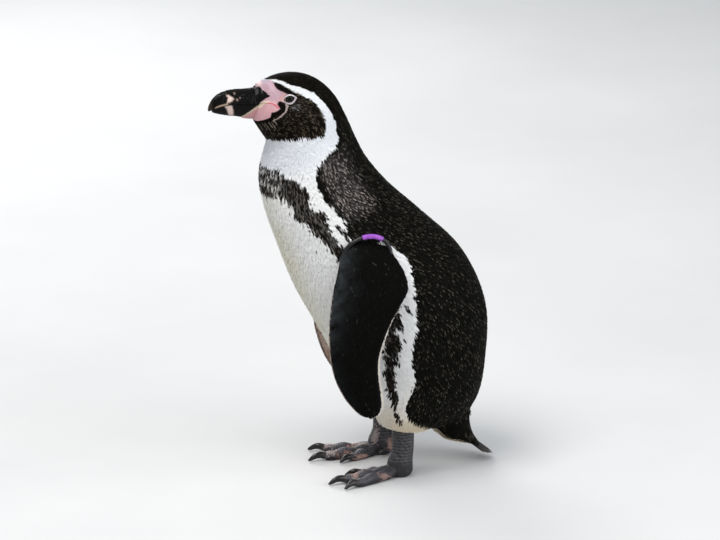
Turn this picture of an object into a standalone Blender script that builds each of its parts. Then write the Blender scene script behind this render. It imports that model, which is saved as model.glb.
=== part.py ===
"""Humboldt penguin, a still life-size museum model standing on its two feet.

Frame: metres, +Z up, floor at Z = 0. The bird faces -Y and its left side is +X.
The body is one loft from the root of the tail to the base of the bill, parted by thin cuts
into belly, breast, neck and head. Everything else grows from it.
"""

import math

import bmesh
import bpy
import numpy as np
from mathutils import Matrix, Vector

# ---------------------------------------------------------------- named sizes (millimetres)
MM = 0.001
SHIFT_X, SHIFT_Y = -1.7, 11.2     # bring the middle of the outline over the origin
GAP = 0.3                # clear cut between neighbouring parts

HEAD_YAW = 9.0           # degrees the head is turned to the bird's left
YAW_PIVOT_Y = -45.0      # the neck axis that the head turns about

BODY_SEGMENTS = 32       # points round the trunk
HEAD_SEGMENTS = 32       # points round the head

EYE_Y, EYE_Z = -88.2, 419.0     # eye centre seen from the side, before the head is turned
EYE_RADIUS = 7.2
EYE_SINK = 6.3                  # eyeball centre below the surface of the head
LID_MAJOR, LID_MINOR = 5.95, 0.85
LID_HEIGHT = 5.6                # lid ring above the eyeball's centre

BILL_BASE_Y = -112.45
BILL_TIP_Y = -169.5

FLIPPER_POINTS = 18
TAIL_LENGTH = 62.0
TAIL_DROP = 38.0                # degrees the tail points below level

TOE_LENGTH = {"middle": 64.5, "outer": 61.0, "inner": 42.5}
CLAW_LENGTH = {"middle": 18.5, "outer": 16.5, "inner": 15.0}
TOE_FLAT = 0.88           # height of a toe against its width
TOE_RADIUS = {"middle": 7.3, "outer": 6.9, "inner": 6.5}

# stations of the body: front and back of the section in the middle plane (Y, Z), half width,
# how far the widest place lies towards the front (+) or back (-), squareness of the section
STATIONS = [
    # name            front            back             width  skew   power
    ("tail root",     (78.0, 37.5),    (121.0, 58.0),   19.0,  0.00,  2.0),
    ("vent",          (53.0, 43.0),    (130.5, 82.0),   41.0,  0.00,  2.0),
    ("rump",          (19.0, 61.0),    (135.5, 123.0),  63.0, -0.02,  2.05),
    ("lower belly",   (-12.0, 98.0),   (135.0, 178.0),  76.0, -0.03,  2.1),
    ("belly",         (-43.5, 155.0),  (109.5, 237.0),  81.5, -0.05,  2.1),
    ("breast",        (-71.5, 207.0),  (66.0, 281.0),   80.5, -0.05,  2.1),
    ("upper breast",  (-89.5, 254.0),  (29.0, 315.5),   72.0, -0.03,  2.1),
    ("crop",          (-102.5, 292.0), (5.0, 345.5),    60.0,  0.00,  2.1),
    ("neck",          (-108.5, 322.0), (-7.0, 369.0),   50.5,  0.00,  2.05),
    ("upper neck",    (-107.0, 344.0), (-16.5, 391.0),  43.0,  0.00,  2.0),
    ("throat",        (-102.0, 362.0), (-28.0, 412.5),  37.0,  0.02,  2.0),
    ("nape",          (-103.5, 370.5), (-41.5, 427.0),  33.0,  0.08,  2.0),
    ("hind crown",    (-107.0, 376.0), (-56.0, 436.0),  31.0,  0.12,  2.0),
    ("crown",         (-110.5, 381.5), (-72.0, 440.5),  29.0,  0.14,  2.0),
    ("brow",          (-114.0, 387.0), (-88.0, 440.5),  25.0,  0.12,  2.0),
    ("forehead",      (-117.5, 392.0), (-101.5, 437.5), 19.5,  0.08,  2.0),
    ("bill base",     (-119.5, 395.5), (-112.0, 433.5), 13.6,  0.02,  2.1),
]
T_OF = {row[0]: i for i, row in enumerate(STATIONS)}


# ---------------------------------------------------------------- smooth curves through stations
def knots():
    rows = np.array([[*r[1], *r[2], r[3], r[4], r[5]] for r in STATIONS], float)
    mid = (rows[:, 0:2] + rows[:, 2:4]) / 2
    chord = np.concatenate([[0], np.cumsum(np.linalg.norm(np.diff(mid, axis=0), axis=1) ** 0.5)])
    return rows, chord


ROWS, CHORD = knots()


def hermite(x, y, at):
    """Cubic through the rows of y at the places x, with finite-difference slopes."""
    x, y, at = np.asarray(x, float), np.asarray(y, float), np.atleast_1d(at)
    h = np.diff(x)
    d = np.diff(y, axis=0) / h[:, None]
    m = np.empty_like(y)
    m[1:-1] = (d[:-1] * h[1:, None] + d[1:] * h[:-1, None]) / (h[:-1] + h[1:])[:, None]
    m[0], m[-1] = d[0], d[-1]
    i = np.clip(np.searchsorted(x, at, side="right") - 1, 0, len(h) - 1)
    s = ((at - x[i]) / h[i])[:, None]
    hh = h[i][:, None]
    return ((2 * s**3 - 3 * s**2 + 1) * y[i] + (s**3 - 2 * s**2 + s) * hh * m[i]
            + (3 * s**2 - 2 * s**3) * y[i + 1] + (s**3 - s**2) * hh * m[i + 1])


def section(t):
    """The body's section at station number t, a fraction between two stations allowed."""
    at = np.interp(t, np.arange(len(STATIONS)), CHORD)
    return hermite(CHORD, ROWS, at)[0]


def smooth(a, b, x):
    s = np.clip((x - a) / (b - a), 0, 1)
    return s * s * (3 - 2 * s)


def bump(p, centre, size):
    """1 at the centre of a soft oval, falling to 0 outside it."""
    d = (p - np.array(centre)) / np.array(size)
    return np.exp(-np.sum(d * d, axis=-1))


def relief(p):
    """How far the head's soft forms stand out from the loft, in mm, at points of the right or left side."""
    q = np.abs(p[..., 0:1])
    q = np.concatenate([q, p[..., 1:]], axis=-1)
    out = 1.5 * bump(q, (20, EYE_Y + 1, EYE_Z + 9.5), (11, 13, 4.5))        # brow
    out -= 1.7 * bump(q, (25, EYE_Y - 1, EYE_Z - 0.5), (10, 10, 6.5))       # hollow of the eye
    out -= 1.6 * bump(q, (17, EYE_Y - 16, EYE_Z - 3), (9, 9, 8))            # lore
    out += 2.2 * bump(q, (27, EYE_Y + 13, EYE_Z - 19), (14, 17, 13))        # cheek
    return out


def yaw(points, t):
    """Turns the head about the neck, growing from nothing at the crop to the full angle at the nape."""
    angle = math.radians(HEAD_YAW) * float(smooth(T_OF["crop"], T_OF["nape"], t))
    out = points.copy()
    c, s = math.cos(angle), math.sin(angle)
    y = points[:, 1] - YAW_PIVOT_Y
    out[:, 0] = points[:, 0] * c - y * s
    out[:, 1] = points[:, 0] * s + y * c + YAW_PIVOT_Y
    return out


def body_ring(t, segments, grow=0.0, start=0.0):
    """Points round the body at station t. The first is at the front, the next ones go to the bird's left."""
    fy, fz, by, bz, width, skew, power = section(t)
    front, back = np.array([fy, fz]), np.array([by, bz])
    centre, half = (front + back) / 2, (front - back) / 2
    length = np.linalg.norm(half)
    half, width = half * (length + grow) / length, width + grow
    angle = start + np.arange(segments) * 2 * math.pi / segments
    c, s = np.cos(angle), np.sin(angle)
    c = np.sign(c) * np.abs(c) ** (2 / power)
    s = np.sign(s) * np.abs(s) ** (2 / power)
    along = c + skew * (1 - c * c)
    ring = np.column_stack([width * s, centre[0] + half[0] * along, centre[1] + half[1] * along])
    if t > T_OF["throat"]:
        out = np.column_stack([width * s, half[0] * c, half[1] * c])
        out /= np.linalg.norm(out, axis=1)[:, None]
        fade = float(smooth(T_OF["throat"], T_OF["nape"], t) * (1 - 0.8 * smooth(T_OF["forehead"], T_OF["bill base"], t)))
        ring += out * (relief(ring) * fade)[:, None]
    return yaw(ring, t)


# ---------------------------------------------------------------- building helpers
def clear_scene():
    for obj in list(bpy.data.objects):
        bpy.data.objects.remove(obj, do_unlink=True)


def collection(name, hidden=False):
    made = bpy.data.collections.new(name)
    bpy.context.scene.collection.children.link(made)
    made.hide_render = hidden
    return made


def material(name, colour, roughness, metallic=0.0):
    made = bpy.data.materials.new(name)
    made.use_nodes = True
    shader = made.node_tree.nodes["Principled BSDF"]
    shader.inputs["Base Color"].default_value = (*colour, 1.0)
    shader.inputs["Roughness"].default_value = roughness
    shader.inputs["Metallic"].default_value = metallic
    made.diffuse_color = (*colour, 1.0)
    return made


def add_object(name, bm, where, mat=None, cutter=False):
    mesh = bpy.data.meshes.new(name)
    bm.normal_update()
    bm.to_mesh(mesh)
    bm.free()
    obj = bpy.data.objects.new(name, mesh)
    where.objects.link(obj)
    if mat:
        mesh.materials.append(mat)
    if cutter:
        obj.hide_render = True
        obj.display_type = "WIRE"
    return obj


def loft(rings, close=(True, True)):
    """A closed bmesh through rings with equal numbers of points, in mm, facing out."""
    bm = bmesh.new()
    made = [[bm.verts.new(Vector(p) * MM) for p in ring] for ring in rings]
    n = len(made[0])
    for a, b in zip(made, made[1:]):
        for i in range(n):
            j = (i + 1) % n
            bm.faces.new((a[i], a[j], b[j], b[i]))
    if close[0]:
        bm.faces.new(list(reversed(made[0])))
    if close[1]:
        bm.faces.new(made[-1])
    bmesh.ops.recalc_face_normals(bm, faces=bm.faces)
    if bm.calc_volume(signed=True) < 0:
        bmesh.ops.reverse_faces(bm, faces=bm.faces)
    return bm


def boolean(obj, other, operation="DIFFERENCE"):
    mod = obj.modifiers.new(f"{operation.lower()} {other.name}", "BOOLEAN")
    mod.operation = operation
    mod.solver = "EXACT"
    mod.object = other
    return mod


def place(points):
    """Body coordinates to the part's frame, still in mm."""
    out = np.array(points, float)
    out[..., 0] += SHIFT_X
    out[..., 1] += SHIFT_Y
    return out


def stations_between(t0, t1, step):
    count = max(2, int(round((t1 - t0) / step)) + 1)
    return list(np.linspace(t0, t1, count))


def gap_after(t, segments):
    """The step in t that leaves at least GAP between two rings."""
    ring = body_ring(t, segments)
    step = 0.002
    while True:
        other = body_ring(t + step, segments)
        fy, fz, by, bz = section(t)[:4]
        normal = np.array([0.0, -(bz - fz), by - fy])
        normal /= np.linalg.norm(normal)
        if np.abs((other - ring) @ normal).min() >= GAP or step > 0.2:
            return step
        step *= 1.1


# ---------------------------------------------------------------- the body
# name, first and last station, spacing of the rings
CUTS = [("belly", 0.0, 4.55, 0.42), ("breast", 4.55, 7.0, 0.49), ("neck", 7.0, 9.9, 0.48), ("head", 9.9, T_OF["bill base"], 0.40)]


def body_stations():
    made = {}
    for index, (name, t0, t1, step) in enumerate(CUTS):
        if index:
            t0 += gap_after(t0, BODY_SEGMENTS)
        made[name] = stations_between(t0, t1, step)
    return made


def build_body(parts, mats, stations):
    made = {}
    for name, places in stations.items():
        segments = HEAD_SEGMENTS if name == "head" else BODY_SEGMENTS
        rings = [place(body_ring(t, segments)) for t in places]
        made[name] = add_object(name, loft(rings), parts, mats[name])
    return made


def grown_body(cutters, grow, stations):
    """The body a little larger, with the same facets, to cut what lies against it."""
    places = [t for name in ("belly", "breast", "neck") for t in stations[name]]
    rings = [place(body_ring(t, BODY_SEGMENTS, grow)) for t in places]
    return add_object("grown_body", loft(rings), cutters, cutter=True)


def flank_x(y, z):
    """How far the left flank stands out at a place seen from the side, before the recentring."""
    best, found = 1e9, 0.0
    for t in np.linspace(3.0, 8.0, 60):
        ring = body_ring(t, 120)[1:60]
        d = np.hypot(ring[:, 1] - y, ring[:, 2] - z)
        i = int(np.argmin(d))
        if d[i] < best:
            best, found = d[i], ring[i, 0]
    return float(found)


# ---------------------------------------------------------------- tail
def build_tail(parts, mats):
    """A short stiff wedge: oval where it leaves the rump, flat and rounded at the tip."""
    root = section(0.0)
    centre = np.array([(root[0] + root[2]) / 2, (root[1] + root[3]) / 2])
    drop0, drop1 = math.radians(62), math.radians(TAIL_DROP)
    rings, place_now, steps = [], centre.copy(), 10
    n = 16
    for k in range(steps + 1):
        u = k / steps
        if k:
            a = drop0 + (drop1 - drop0) * float(smooth(0, 0.45, u))
            place_now = place_now + TAIL_LENGTH / steps * np.array([math.cos(a), -math.sin(a)])
        a = drop0 + (drop1 - drop0) * float(smooth(0, 0.45, u))
        wide = 19.0 + 4.5 * float(smooth(0, 0.6, u))
        wide *= math.sqrt(max(0.0, 1 - (max(0.0, u - 0.3) / 0.715) ** 3.4))
        thick = 23.8 * (1 - float(smooth(0, 0.62, u))) + 4.6 * float(smooth(0, 0.62, u))
        thick += (1.3 - 4.6) * float(smooth(0.4, 1, u))
        angle = np.arange(n) * 2 * math.pi / n
        # the ring starts at the underside, which faces the floor
        under = np.array([-math.sin(a), -math.cos(a)])
        blend = float(smooth(0, 0.25, u))
        half = np.array([(root[0] - root[2]) / 2, (root[1] - root[3]) / 2])
        half = half / np.linalg.norm(half)
        direction = half * (1 - blend) + under * blend
        direction /= np.linalg.norm(direction)
        ring = np.column_stack([wide * np.sin(angle),
                                place_now[0] + direction[0] * thick * np.cos(angle),
                                place_now[1] + direction[1] * thick * np.cos(angle)])
        rings.append(ring)
    start = rings[0]
    normal = np.array([0, 0.43, -0.903])
    rings[0] = start + normal * GAP * 1.2
    rings[0][:, 0] *= 0.985
    return add_object("tail", loft([place(r) for r in rings]), parts, mats["tail"])


# ---------------------------------------------------------------- flippers
# horizontal sections of the left flipper: height, leading edge Y, trailing edge Y, middle X, thickness
FLIPPER_ROWS = [
    # Z      lead    trail   X      thick
    (276.0, -24.0,  -6.0,   64.0,   7.0),
    (271.5, -31.0,   2.0,   70.0,  13.0),
    (262.0, -38.5,   11.0,  77.0,  18.5),
    (243.0, -45.0,   22.0,  86.5,  16.5),
    (225.0, -50.0,   25.5,  91.5,  13.5),
    (209.0, -53.5,   18.0,  94.0,  11.5),
    (190.0, -56.3,   6.5,   95.5,  10.0),
    (170.0, -57.0,  -2.0,   96.0,   8.6),
    (150.0, -55.6,  -7.2,   95.5,   7.4),
    (129.0, -50.5,  -6.7,   94.5,   6.2),
    (110.0, -41.5,  -3.8,   93.0,   5.0),
    (98.0,  -33.0,  -3.0,   92.0,   4.0),
    (90.0,  -25.5,  -5.0,   91.0,   3.2),
    (85.5,  -18.5,  -9.5,   90.5,   2.4),
]
FLIPPER_TURN = 10.0      # degrees the leading edge is turned in towards the breast
RIGHT_SWING = 8.0        # degrees the right flipper hangs farther back than the left
RIGHT_DROP = 14.0        # how much lower its tip is
RIGHT_LOWER = 11.5       # how much lower the whole of it hangs, below the shoulder
RIGHT_BACK = 14.5        # and how much farther back
RIGHT_CLOSE = 4.0        # and how much closer to the body
SHOULDER = (-12.0, 262.0)


def flipper_ring(t, points=FLIPPER_POINTS):
    """Section of the left flipper at row number t: a blunt leading edge and a thin trailing edge."""
    rows = np.array(FLIPPER_ROWS)
    z, lead, trail, x, thick = hermite(np.arange(len(rows)), rows, t)[0]
    angle = np.arange(points) * 2 * math.pi / points
    c = -np.cos(angle)                       # -1 at the leading edge, +1 at the trailing edge
    s = np.sin(angle)
    taper = 1 - 0.30 * c - 0.22 * c * c      # thickest a third of the way back
    chord = (trail - lead) / 2
    y = (lead + trail) / 2 + chord * c
    xx = x + 0.5 * thick * s * taper
    xx = xx + math.tan(math.radians(FLIPPER_TURN)) * (y - (lead + trail) / 2) * float(smooth(0.5, 3, t))
    # the outer face is a little cupped round the body
    xx = xx - 0.0016 * (y - (lead + trail) / 2) ** 2
    return np.column_stack([xx, y, np.full(points, z)])


def right_flipper(points):
    out = points.copy()
    a = math.radians(RIGHT_SWING)
    y, z = out[:, 1] - SHOULDER[0], out[:, 2] - SHOULDER[1]
    fade = smooth(0, 60, -z)
    ya = y * np.cos(a * fade) - z * np.sin(a * fade)
    za = y * np.sin(a * fade) + z * np.cos(a * fade)
    low = smooth(-14, 60, -z)
    za = za - RIGHT_DROP * smooth(40, 170, -z) - RIGHT_LOWER * low
    out[:, 1], out[:, 2] = ya + SHOULDER[0] + RIGHT_BACK * low, za + SHOULDER[1]
    out[:, 0] = -(out[:, 0] - RIGHT_CLOSE * smooth(0, 80, 262 - out[:, 2]))
    return out


def build_flippers(parts, mats, grown):
    made = {}
    count = len(FLIPPER_ROWS) - 1
    for side in ("l", "r"):
        rings = []
        for t in np.linspace(0, count, 17):
            ring = flipper_ring(t)
            rings.append(place(ring if side == "l" else right_flipper(ring)))
        obj = add_object(f"flipper_{side}", loft(rings), parts, mats["flipper"])
        boolean(obj, grown)
        made[side] = obj
    return made


# ---------------------------------------------------------------- legs and feet
LEG = {"l": (38.0, 33.0), "r": (-40.0, 33.0)}          # where the leg comes down (X, Y)
LEG_TOP, LEG_BOTTOM = 122.0, 50.5
SHANK_TOP = 49.2
FOOT_TURN = {"l": 11.0, "r": 8.0}                      # degrees each foot points to the bird's left
TOE_SPREAD = {"l": {"outer": 16.0, "inner": -20.0}, "r": {"outer": -27.0, "inner": 19.0}}


def build_legs(parts, mats, grown):
    """The feathered thighs: they bulge from the flanks and close round the shanks."""
    made = {}
    for side, (x, y) in LEG.items():
        rings = []
        for u in (0.0, 0.2, 0.4, 0.56, 0.7, 0.81, 0.9, 0.96, 1.0):
            z = LEG_TOP + (LEG_BOTTOM - LEG_TOP) * u
            r = math.sqrt(max(0.0, 1 - u ** 3.2))
            rx, ry = 13.5 + 13.5 * r, 15.0 + 27.0 * r
            cx = x + math.copysign(4.0, x) * (1 - u)
            cy = y + 1 + 27 * (1 - u) ** 0.9
            angle = np.arange(18) * 2 * math.pi / 18
            tilt = 0.42 * ry * np.cos(angle) * (1 - 0.55 * u)      # the lower edge follows the leaning body
            rings.append(place(np.column_stack([cx + rx * np.sin(angle), cy - ry * np.cos(angle), z + tilt])))
        obj = add_object(f"leg_{side}", loft(rings), parts, mats["leg"])
        boolean(obj, grown)
        made[side] = obj
    return made


def tube(path, radii, points=14, flat=1.0, reference=(0.0, 0.0, 1.0)):
    """A closed round tube through a path, in mm. The path never runs along the reference direction."""
    path = np.array(path, float)
    rings = []
    for i, p in enumerate(path):
        a = path[min(i + 1, len(path) - 1)] - path[max(i - 1, 0)]
        a /= np.linalg.norm(a)
        side = np.cross(a, reference)
        side /= np.linalg.norm(side)
        up = np.cross(side, a)
        angle = np.arange(points) * 2 * math.pi / points
        rings.append(p + radii[i] * (np.outer(np.cos(angle), side) + flat * np.outer(np.sin(angle), up)))
    return loft(rings)


def toe_frame(side, toe):
    x, y = LEG[side]
    turn = FOOT_TURN[side] + (0 if toe == "middle" else TOE_SPREAD[side][toe])
    a = math.radians(turn)
    return np.array([x, y]), np.array([math.sin(a), -math.cos(a)])


def toe_path(side, toe):
    """Points along a toe from the ankle to the root of its claw, with a radius at each."""
    start, forward = toe_frame(side, toe)
    radius, length = TOE_RADIUS[toe], TOE_LENGTH[toe]
    path, radii = [], []
    for u in (0, 0.14, 0.30, 0.45, 0.60, 0.75, 0.90, 1.0):
        r = radius * (1.06 - 0.24 * u) + 0.4 * math.cos(2 * math.pi * (u * 3.0))
        lift = 7.0 * (1 - float(smooth(0, 0.34, u)))
        p = start + forward * (-2.0 + (length + 2.0) * u)
        path.append((p[0], p[1], r * TOE_FLAT - 0.8 + lift))
        radii.append(r * (1 - 0.34 * float(smooth(0.90, 1.0, u))))
    return path, radii


def build_feet(parts, cutters, mats):
    made = {}
    below = bmesh.new()
    bmesh.ops.create_cube(below, size=1.0, matrix=Matrix.Translation((0, 0, -0.025)) @ Matrix.Diagonal((0.5, 0.5, 0.05, 1)))
    floor = add_object("below_floor", below, cutters, cutter=True)
    for side, (x, y) in LEG.items():
        # the scaly shank, from under the feathers down to the sole
        path = [(x, y + 4, SHANK_TOP), (x, y + 4, 32), (x, y + 3, 25), (x, y + 1, 18), (x, y + 1.5, 11), (x, y + 3.5, 5), (x, y + 4.5, -1.2)]
        radii = [10.2, 9.9, 10.4, 11.6, 12.2, 12.2, 10.8]
        shank_rings = []
        angle = np.arange(14) * 2 * math.pi / 14
        for p, r in zip(path, radii):
            tilt = 0.22 * r * np.cos(angle) * (1 if p[2] == SHANK_TOP else 0)
            shank_rings.append(place(np.column_stack([p[0] + r * np.sin(angle), p[1] - 1.16 * r * np.cos(angle), p[2] + tilt])))
        foot = add_object(f"foot_{side}", loft(shank_rings), parts, mats["foot"])
        joined = []
        for toe in TOE_LENGTH:
            toe_points, toe_radii = toe_path(side, toe)
            obj = add_object(f"join_toe_{side}_{toe}", tube(place(toe_points), toe_radii, 8, TOE_FLAT), cutters, cutter=True)
            joined.append(obj)
        # webs: thin skin from the ankle out between the toes, with a hollow front edge
        for a, b in (("inner", "middle"), ("middle", "outer")):
            start, fa = toe_frame(side, a)
            _, fb = toe_frame(side, b)
            rows = []
            steps = 4
            for k in range(steps + 1):
                w = k / steps
                reach = 0.95 * (TOE_LENGTH[a] * (1 - w) + TOE_LENGTH[b] * w) - 8.0 * math.sin(math.pi * w)
                forward = fa * (1 - w) + fb * w
                forward /= np.linalg.norm(forward)
                rows.append((start + forward * 2.0, start + forward * reach))
            bm = bmesh.new()
            inner = [[bm.verts.new(Vector((*place([p[0], p[1], h])[:3],)) * MM) for p, _ in rows] for h in (1.2, 9.0)]
            outer = [[bm.verts.new(Vector((*place([q[0], q[1], h])[:3],)) * MM) for _, q in rows] for h in (1.2, 4.2)]
            count = len(rows)
            for k in range(count - 1):
                bm.faces.new((inner[0][k], inner[0][k + 1], outer[0][k + 1], outer[0][k]))
                bm.faces.new((inner[1][k], outer[1][k], outer[1][k + 1], inner[1][k + 1]))
                bm.faces.new((outer[0][k], outer[0][k + 1], outer[1][k + 1], outer[1][k]))
                bm.faces.new((inner[0][k], inner[1][k], inner[1][k + 1], inner[0][k + 1]))
            for k in (0, count - 1):
                bm.faces.new((inner[0][k], outer[0][k], outer[1][k], inner[1][k]))
            bmesh.ops.recalc_face_normals(bm, faces=bm.faces)
            if bm.calc_volume(signed=True) < 0:
                bmesh.ops.reverse_faces(bm, faces=bm.faces)
            joined.append(add_object(f"join_web_{side}_{a}", bm, cutters, cutter=True))
        # the small hind toe, low on the inner side of the shank
        inward = -1 if side == "l" else 1
        hind = [(x + inward * 6.5, y + 6.5, 12), (x + inward * 10, y + 4, 10.5), (x + inward * 13.0, y + 0.5, 9.0)]
        joined.append(add_object(f"join_hind_{side}", tube(place(hind), [3.4, 3.1, 2.3], 12), cutters, cutter=True))
        for obj in joined:
            boolean(foot, obj, "UNION")
        boolean(foot, floor)
        made[side] = foot
    return made


def claw_rings(base, direction, length, radius, drop, points=8, steps=5):
    """A claw that arches up a little and then down to its tip."""
    rings = []
    direction = direction / np.linalg.norm(direction)
    side = np.cross(direction, (0, 0, 1.0))
    side /= np.linalg.norm(side)
    for k in range(steps + 1):
        u = k / steps
        centre = base + direction * length * u + np.array([0, 0, 1.0]) * (0.09 * length * math.sin(math.pi * min(1, u * 1.15)) - drop * u ** 2.1)
        r = radius * (1 - u) ** 0.55 + 0.5
        tilt = 0.7 * u
        up = np.array([0, 0, 1.0]) * math.cos(tilt) + direction * math.sin(tilt)
        up /= np.linalg.norm(up)
        angle = np.arange(points) * 2 * math.pi / points
        rings.append(centre + r * (0.86 * np.outer(np.cos(angle), side) + 1.05 * np.outer(np.sin(angle), up)))
    return rings


def build_claws(parts, mats):
    for side, (x, y) in LEG.items():
        for toe in TOE_LENGTH:
            start, forward = toe_frame(side, toe)
            path, radii = toe_path(side, toe)
            end, r = np.array(path[-1]), radii[-1]
            direction = np.array([forward[0], forward[1], 0.0])
            base = end + direction * (GAP + 0.3)
            base[2] = end[2] + 0.2
            drop = base[2] - 1.9
            rings = claw_rings(base, direction, CLAW_LENGTH[toe], r * 0.86, drop)
            add_object(f"claw_{side}_{toe}", loft([place(q) for q in rings]), parts, mats["claw"])
        inward = -1 if side == "l" else 1
        base = np.array([x + inward * 13.0, y + 0.5, 9.0])
        direction = np.array([inward * 3.0, -3.5, -1.5])
        direction /= np.linalg.norm(direction)
        rings = claw_rings(base + direction * (GAP + 1.2), direction, 8.0, 1.9, 1.6, points=6, steps=3)
        add_object(f"claw_{side}_hind", loft([place(q) for q in rings]), parts, mats["claw"])


# ---------------------------------------------------------------- bill
# along the bill: Y, culmen height, mouth line height, underside height, half width at the mouth line
BILL_ROWS = [
    # Y       culmen  mouth   under   width
    (-112.0,  429.0,  413.2,  395.5,  11.6),
    (-120.0,  428.6,  413.6,  396.6,  10.9),
    (-130.0,  428.7,  414.2,  398.2,  9.6),
    (-140.0,  429.3,  414.9,  400.4,  8.3),
    (-150.0,  428.7,  414.9,  402.6,  7.2),
    (-157.0,  426.6,  414.0,  404.4,  6.3),
    (-162.0,  423.8,  412.6,  406.0,  5.2),
    (-166.0,  419.6,  410.6,  407.4,  3.9),
    (-168.6,  415.2,  409.4,  408.4,  2.3),
]


def bill_at(y):
    rows = np.array(BILL_ROWS)
    return hermite(-rows[:, 0], rows, -y)[0]


def turned(ring):
    """Bill points to the part's frame. The base leans like the face that it grows from."""
    ring = np.array(ring, float)
    fade = 1 - smooth(0, 30, -112.0 - ring[:, 1])
    ring[:, 1] -= 0.1974 * (433.5 - ring[:, 2]) * fade
    return place(yaw(ring, T_OF["bill base"]))


def build_bill(parts, mats):
    upper, lower = [], []
    for y in np.linspace(BILL_BASE_Y, -168.8, 15):
        _, top, mouth, under, width = bill_at(y)
        ring = []
        for k in range(9):                       # from the left edge over the ridge to the right edge
            a = math.pi * k / 8
            s = math.sin(a)
            ring.append((width * math.cos(a) * (0.80 + 0.20 * (1 - s)), y, mouth + GAP / 2 + (top - mouth) * s ** 0.82))
        for k in (1, 2, 3):                      # back under the palate
            ring.append((width * (-0.9 + 0.45 * k), y, mouth + GAP / 2 + 0.9))
        upper.append(turned(ring))
    tip = upper[-1]
    hook = tip.mean(axis=0) + np.array([0.0, -0.9, -2.6])
    upper.append(hook + (tip - tip.mean(axis=0)) * 0.45)
    add_object("bill_upper", loft(upper), parts, mats["bill"])
    for y in np.linspace(BILL_BASE_Y, -164.6, 12):
        _, top, mouth, under, width = bill_at(y)
        width *= 0.93
        ring = []
        for k in range(9):
            a = math.pi * k / 8
            s = math.sin(a)
            ring.append((width * math.cos(a) * (0.70 + 0.30 * (1 - s) ** 0.8), y, mouth - GAP / 2 - (mouth - under) * s ** 0.8))
        for k in (1, 2, 3):
            ring.append((width * (-0.9 + 0.45 * k), y, mouth - GAP / 2 - 0.25))
        lower.append(turned(ring))
    add_object("bill_lower", loft(lower), parts, mats["bill"])


# ---------------------------------------------------------------- eyes
def head_surface(side):
    """Place and outward direction of the head's surface at the eye, on the left (+1) or right (-1)."""
    best = None
    for t in np.linspace(T_OF["hind crown"], T_OF["forehead"], 60):
        ring = body_ring(t, 240)
        flat = yaw_back(ring)
        keep = flat[:, 0] * side > 5
        d = np.hypot(flat[keep, 1] - EYE_Y, flat[keep, 2] - EYE_Z)
        i = int(np.argmin(d))
        if best is None or d[i] < best[0]:
            best = (d[i], flat[keep][i], t)
    p = best[1]
    direction = np.array([side * 1.0, -0.20, 0.10])
    return p, direction / np.linalg.norm(direction)


def yaw_back(ring):
    angle = -math.radians(HEAD_YAW)
    out = ring.copy()
    c, s = math.cos(angle), math.sin(angle)
    y = ring[:, 1] - YAW_PIVOT_Y
    out[:, 0] = ring[:, 0] * c - y * s
    out[:, 1] = ring[:, 0] * s + y * c + YAW_PIVOT_Y
    return out


def build_eyes(parts, cutters, mats, head):
    for side, sign in (("l", 1), ("r", -1)):
        p, axis = head_surface(sign)
        centre = p - axis * EYE_SINK
        points = np.array([centre, centre + axis])
        points = place(yaw(points, T_OF["bill base"]))
        centre, axis = points[0], points[1] - points[0]
        axis /= np.linalg.norm(axis)
        turn = Vector(axis).to_track_quat("Z", "Y").to_matrix().to_4x4()

        def at(height):
            return Matrix.Translation(Vector(centre + axis * height) * MM) @ turn

        bm = bmesh.new()
        bmesh.ops.create_uvsphere(bm, u_segments=14, v_segments=9, radius=EYE_RADIUS * MM, matrix=at(0))
        add_object(f"eye_{side}", bm, parts, mats["eye"])

        rings = []
        m = at(LID_HEIGHT)
        for k in range(16):
            a = 2 * math.pi * k / 16
            ring = []
            for j in range(5):
                b = 2 * math.pi * j / 5
                r = LID_MAJOR + LID_MINOR * math.cos(b)
                q = m @ (Vector((r * math.cos(a) * 1.0, r * math.sin(a) * 1.0, LID_MINOR * math.sin(b))) * MM)
                ring.append(np.array(q) / MM)
            rings.append(ring)
        rings.append(rings[0])
        bm = loft(rings, close=(False, False))
        bmesh.ops.remove_doubles(bm, verts=bm.verts, dist=1e-6)
        bmesh.ops.recalc_face_normals(bm, faces=bm.faces)
        if bm.calc_volume(signed=True) < 0:
            bmesh.ops.reverse_faces(bm, faces=bm.faces)
        add_object(f"lid_{side}", bm, parts, mats["lid"])

        bm = bmesh.new()
        bmesh.ops.create_uvsphere(bm, u_segments=14, v_segments=9, radius=(EYE_RADIUS + GAP + 0.15) * MM, matrix=at(0))
        boolean(head, add_object(f"cut_eye_{side}", bm, cutters, cutter=True))
        bm = bmesh.new()
        bmesh.ops.create_cone(bm, cap_ends=True, segments=20, radius1=(LID_MAJOR + LID_MINOR + GAP + 0.1) * MM,
                              radius2=(LID_MAJOR + LID_MINOR + GAP + 0.9) * MM, depth=8 * MM, matrix=at(LID_HEIGHT - LID_MINOR - GAP + 4))
        boolean(head, add_object(f"cut_lid_{side}", bm, cutters, cutter=True))


# ---------------------------------------------------------------- flipper band
BAND_RADIUS = 2.1
BAND_CENTRE = (-13.5, 257.0)     # middle of the ring seen from the side
BAND_WIDE, BAND_TALL = 26.0, 21.5
BAND_LIFT = 2.1                  # centre of the tube above the flank


def even(points, count):
    """A closed path's points, spaced evenly along it."""
    closed = np.vstack([points, points[:1]])
    along = np.concatenate([[0], np.cumsum(np.linalg.norm(np.diff(closed, axis=0), axis=1))])
    at = np.linspace(0, along[-1], count, endpoint=False)
    return np.column_stack([np.interp(at, along, closed[:, i]) for i in range(3)])


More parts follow.
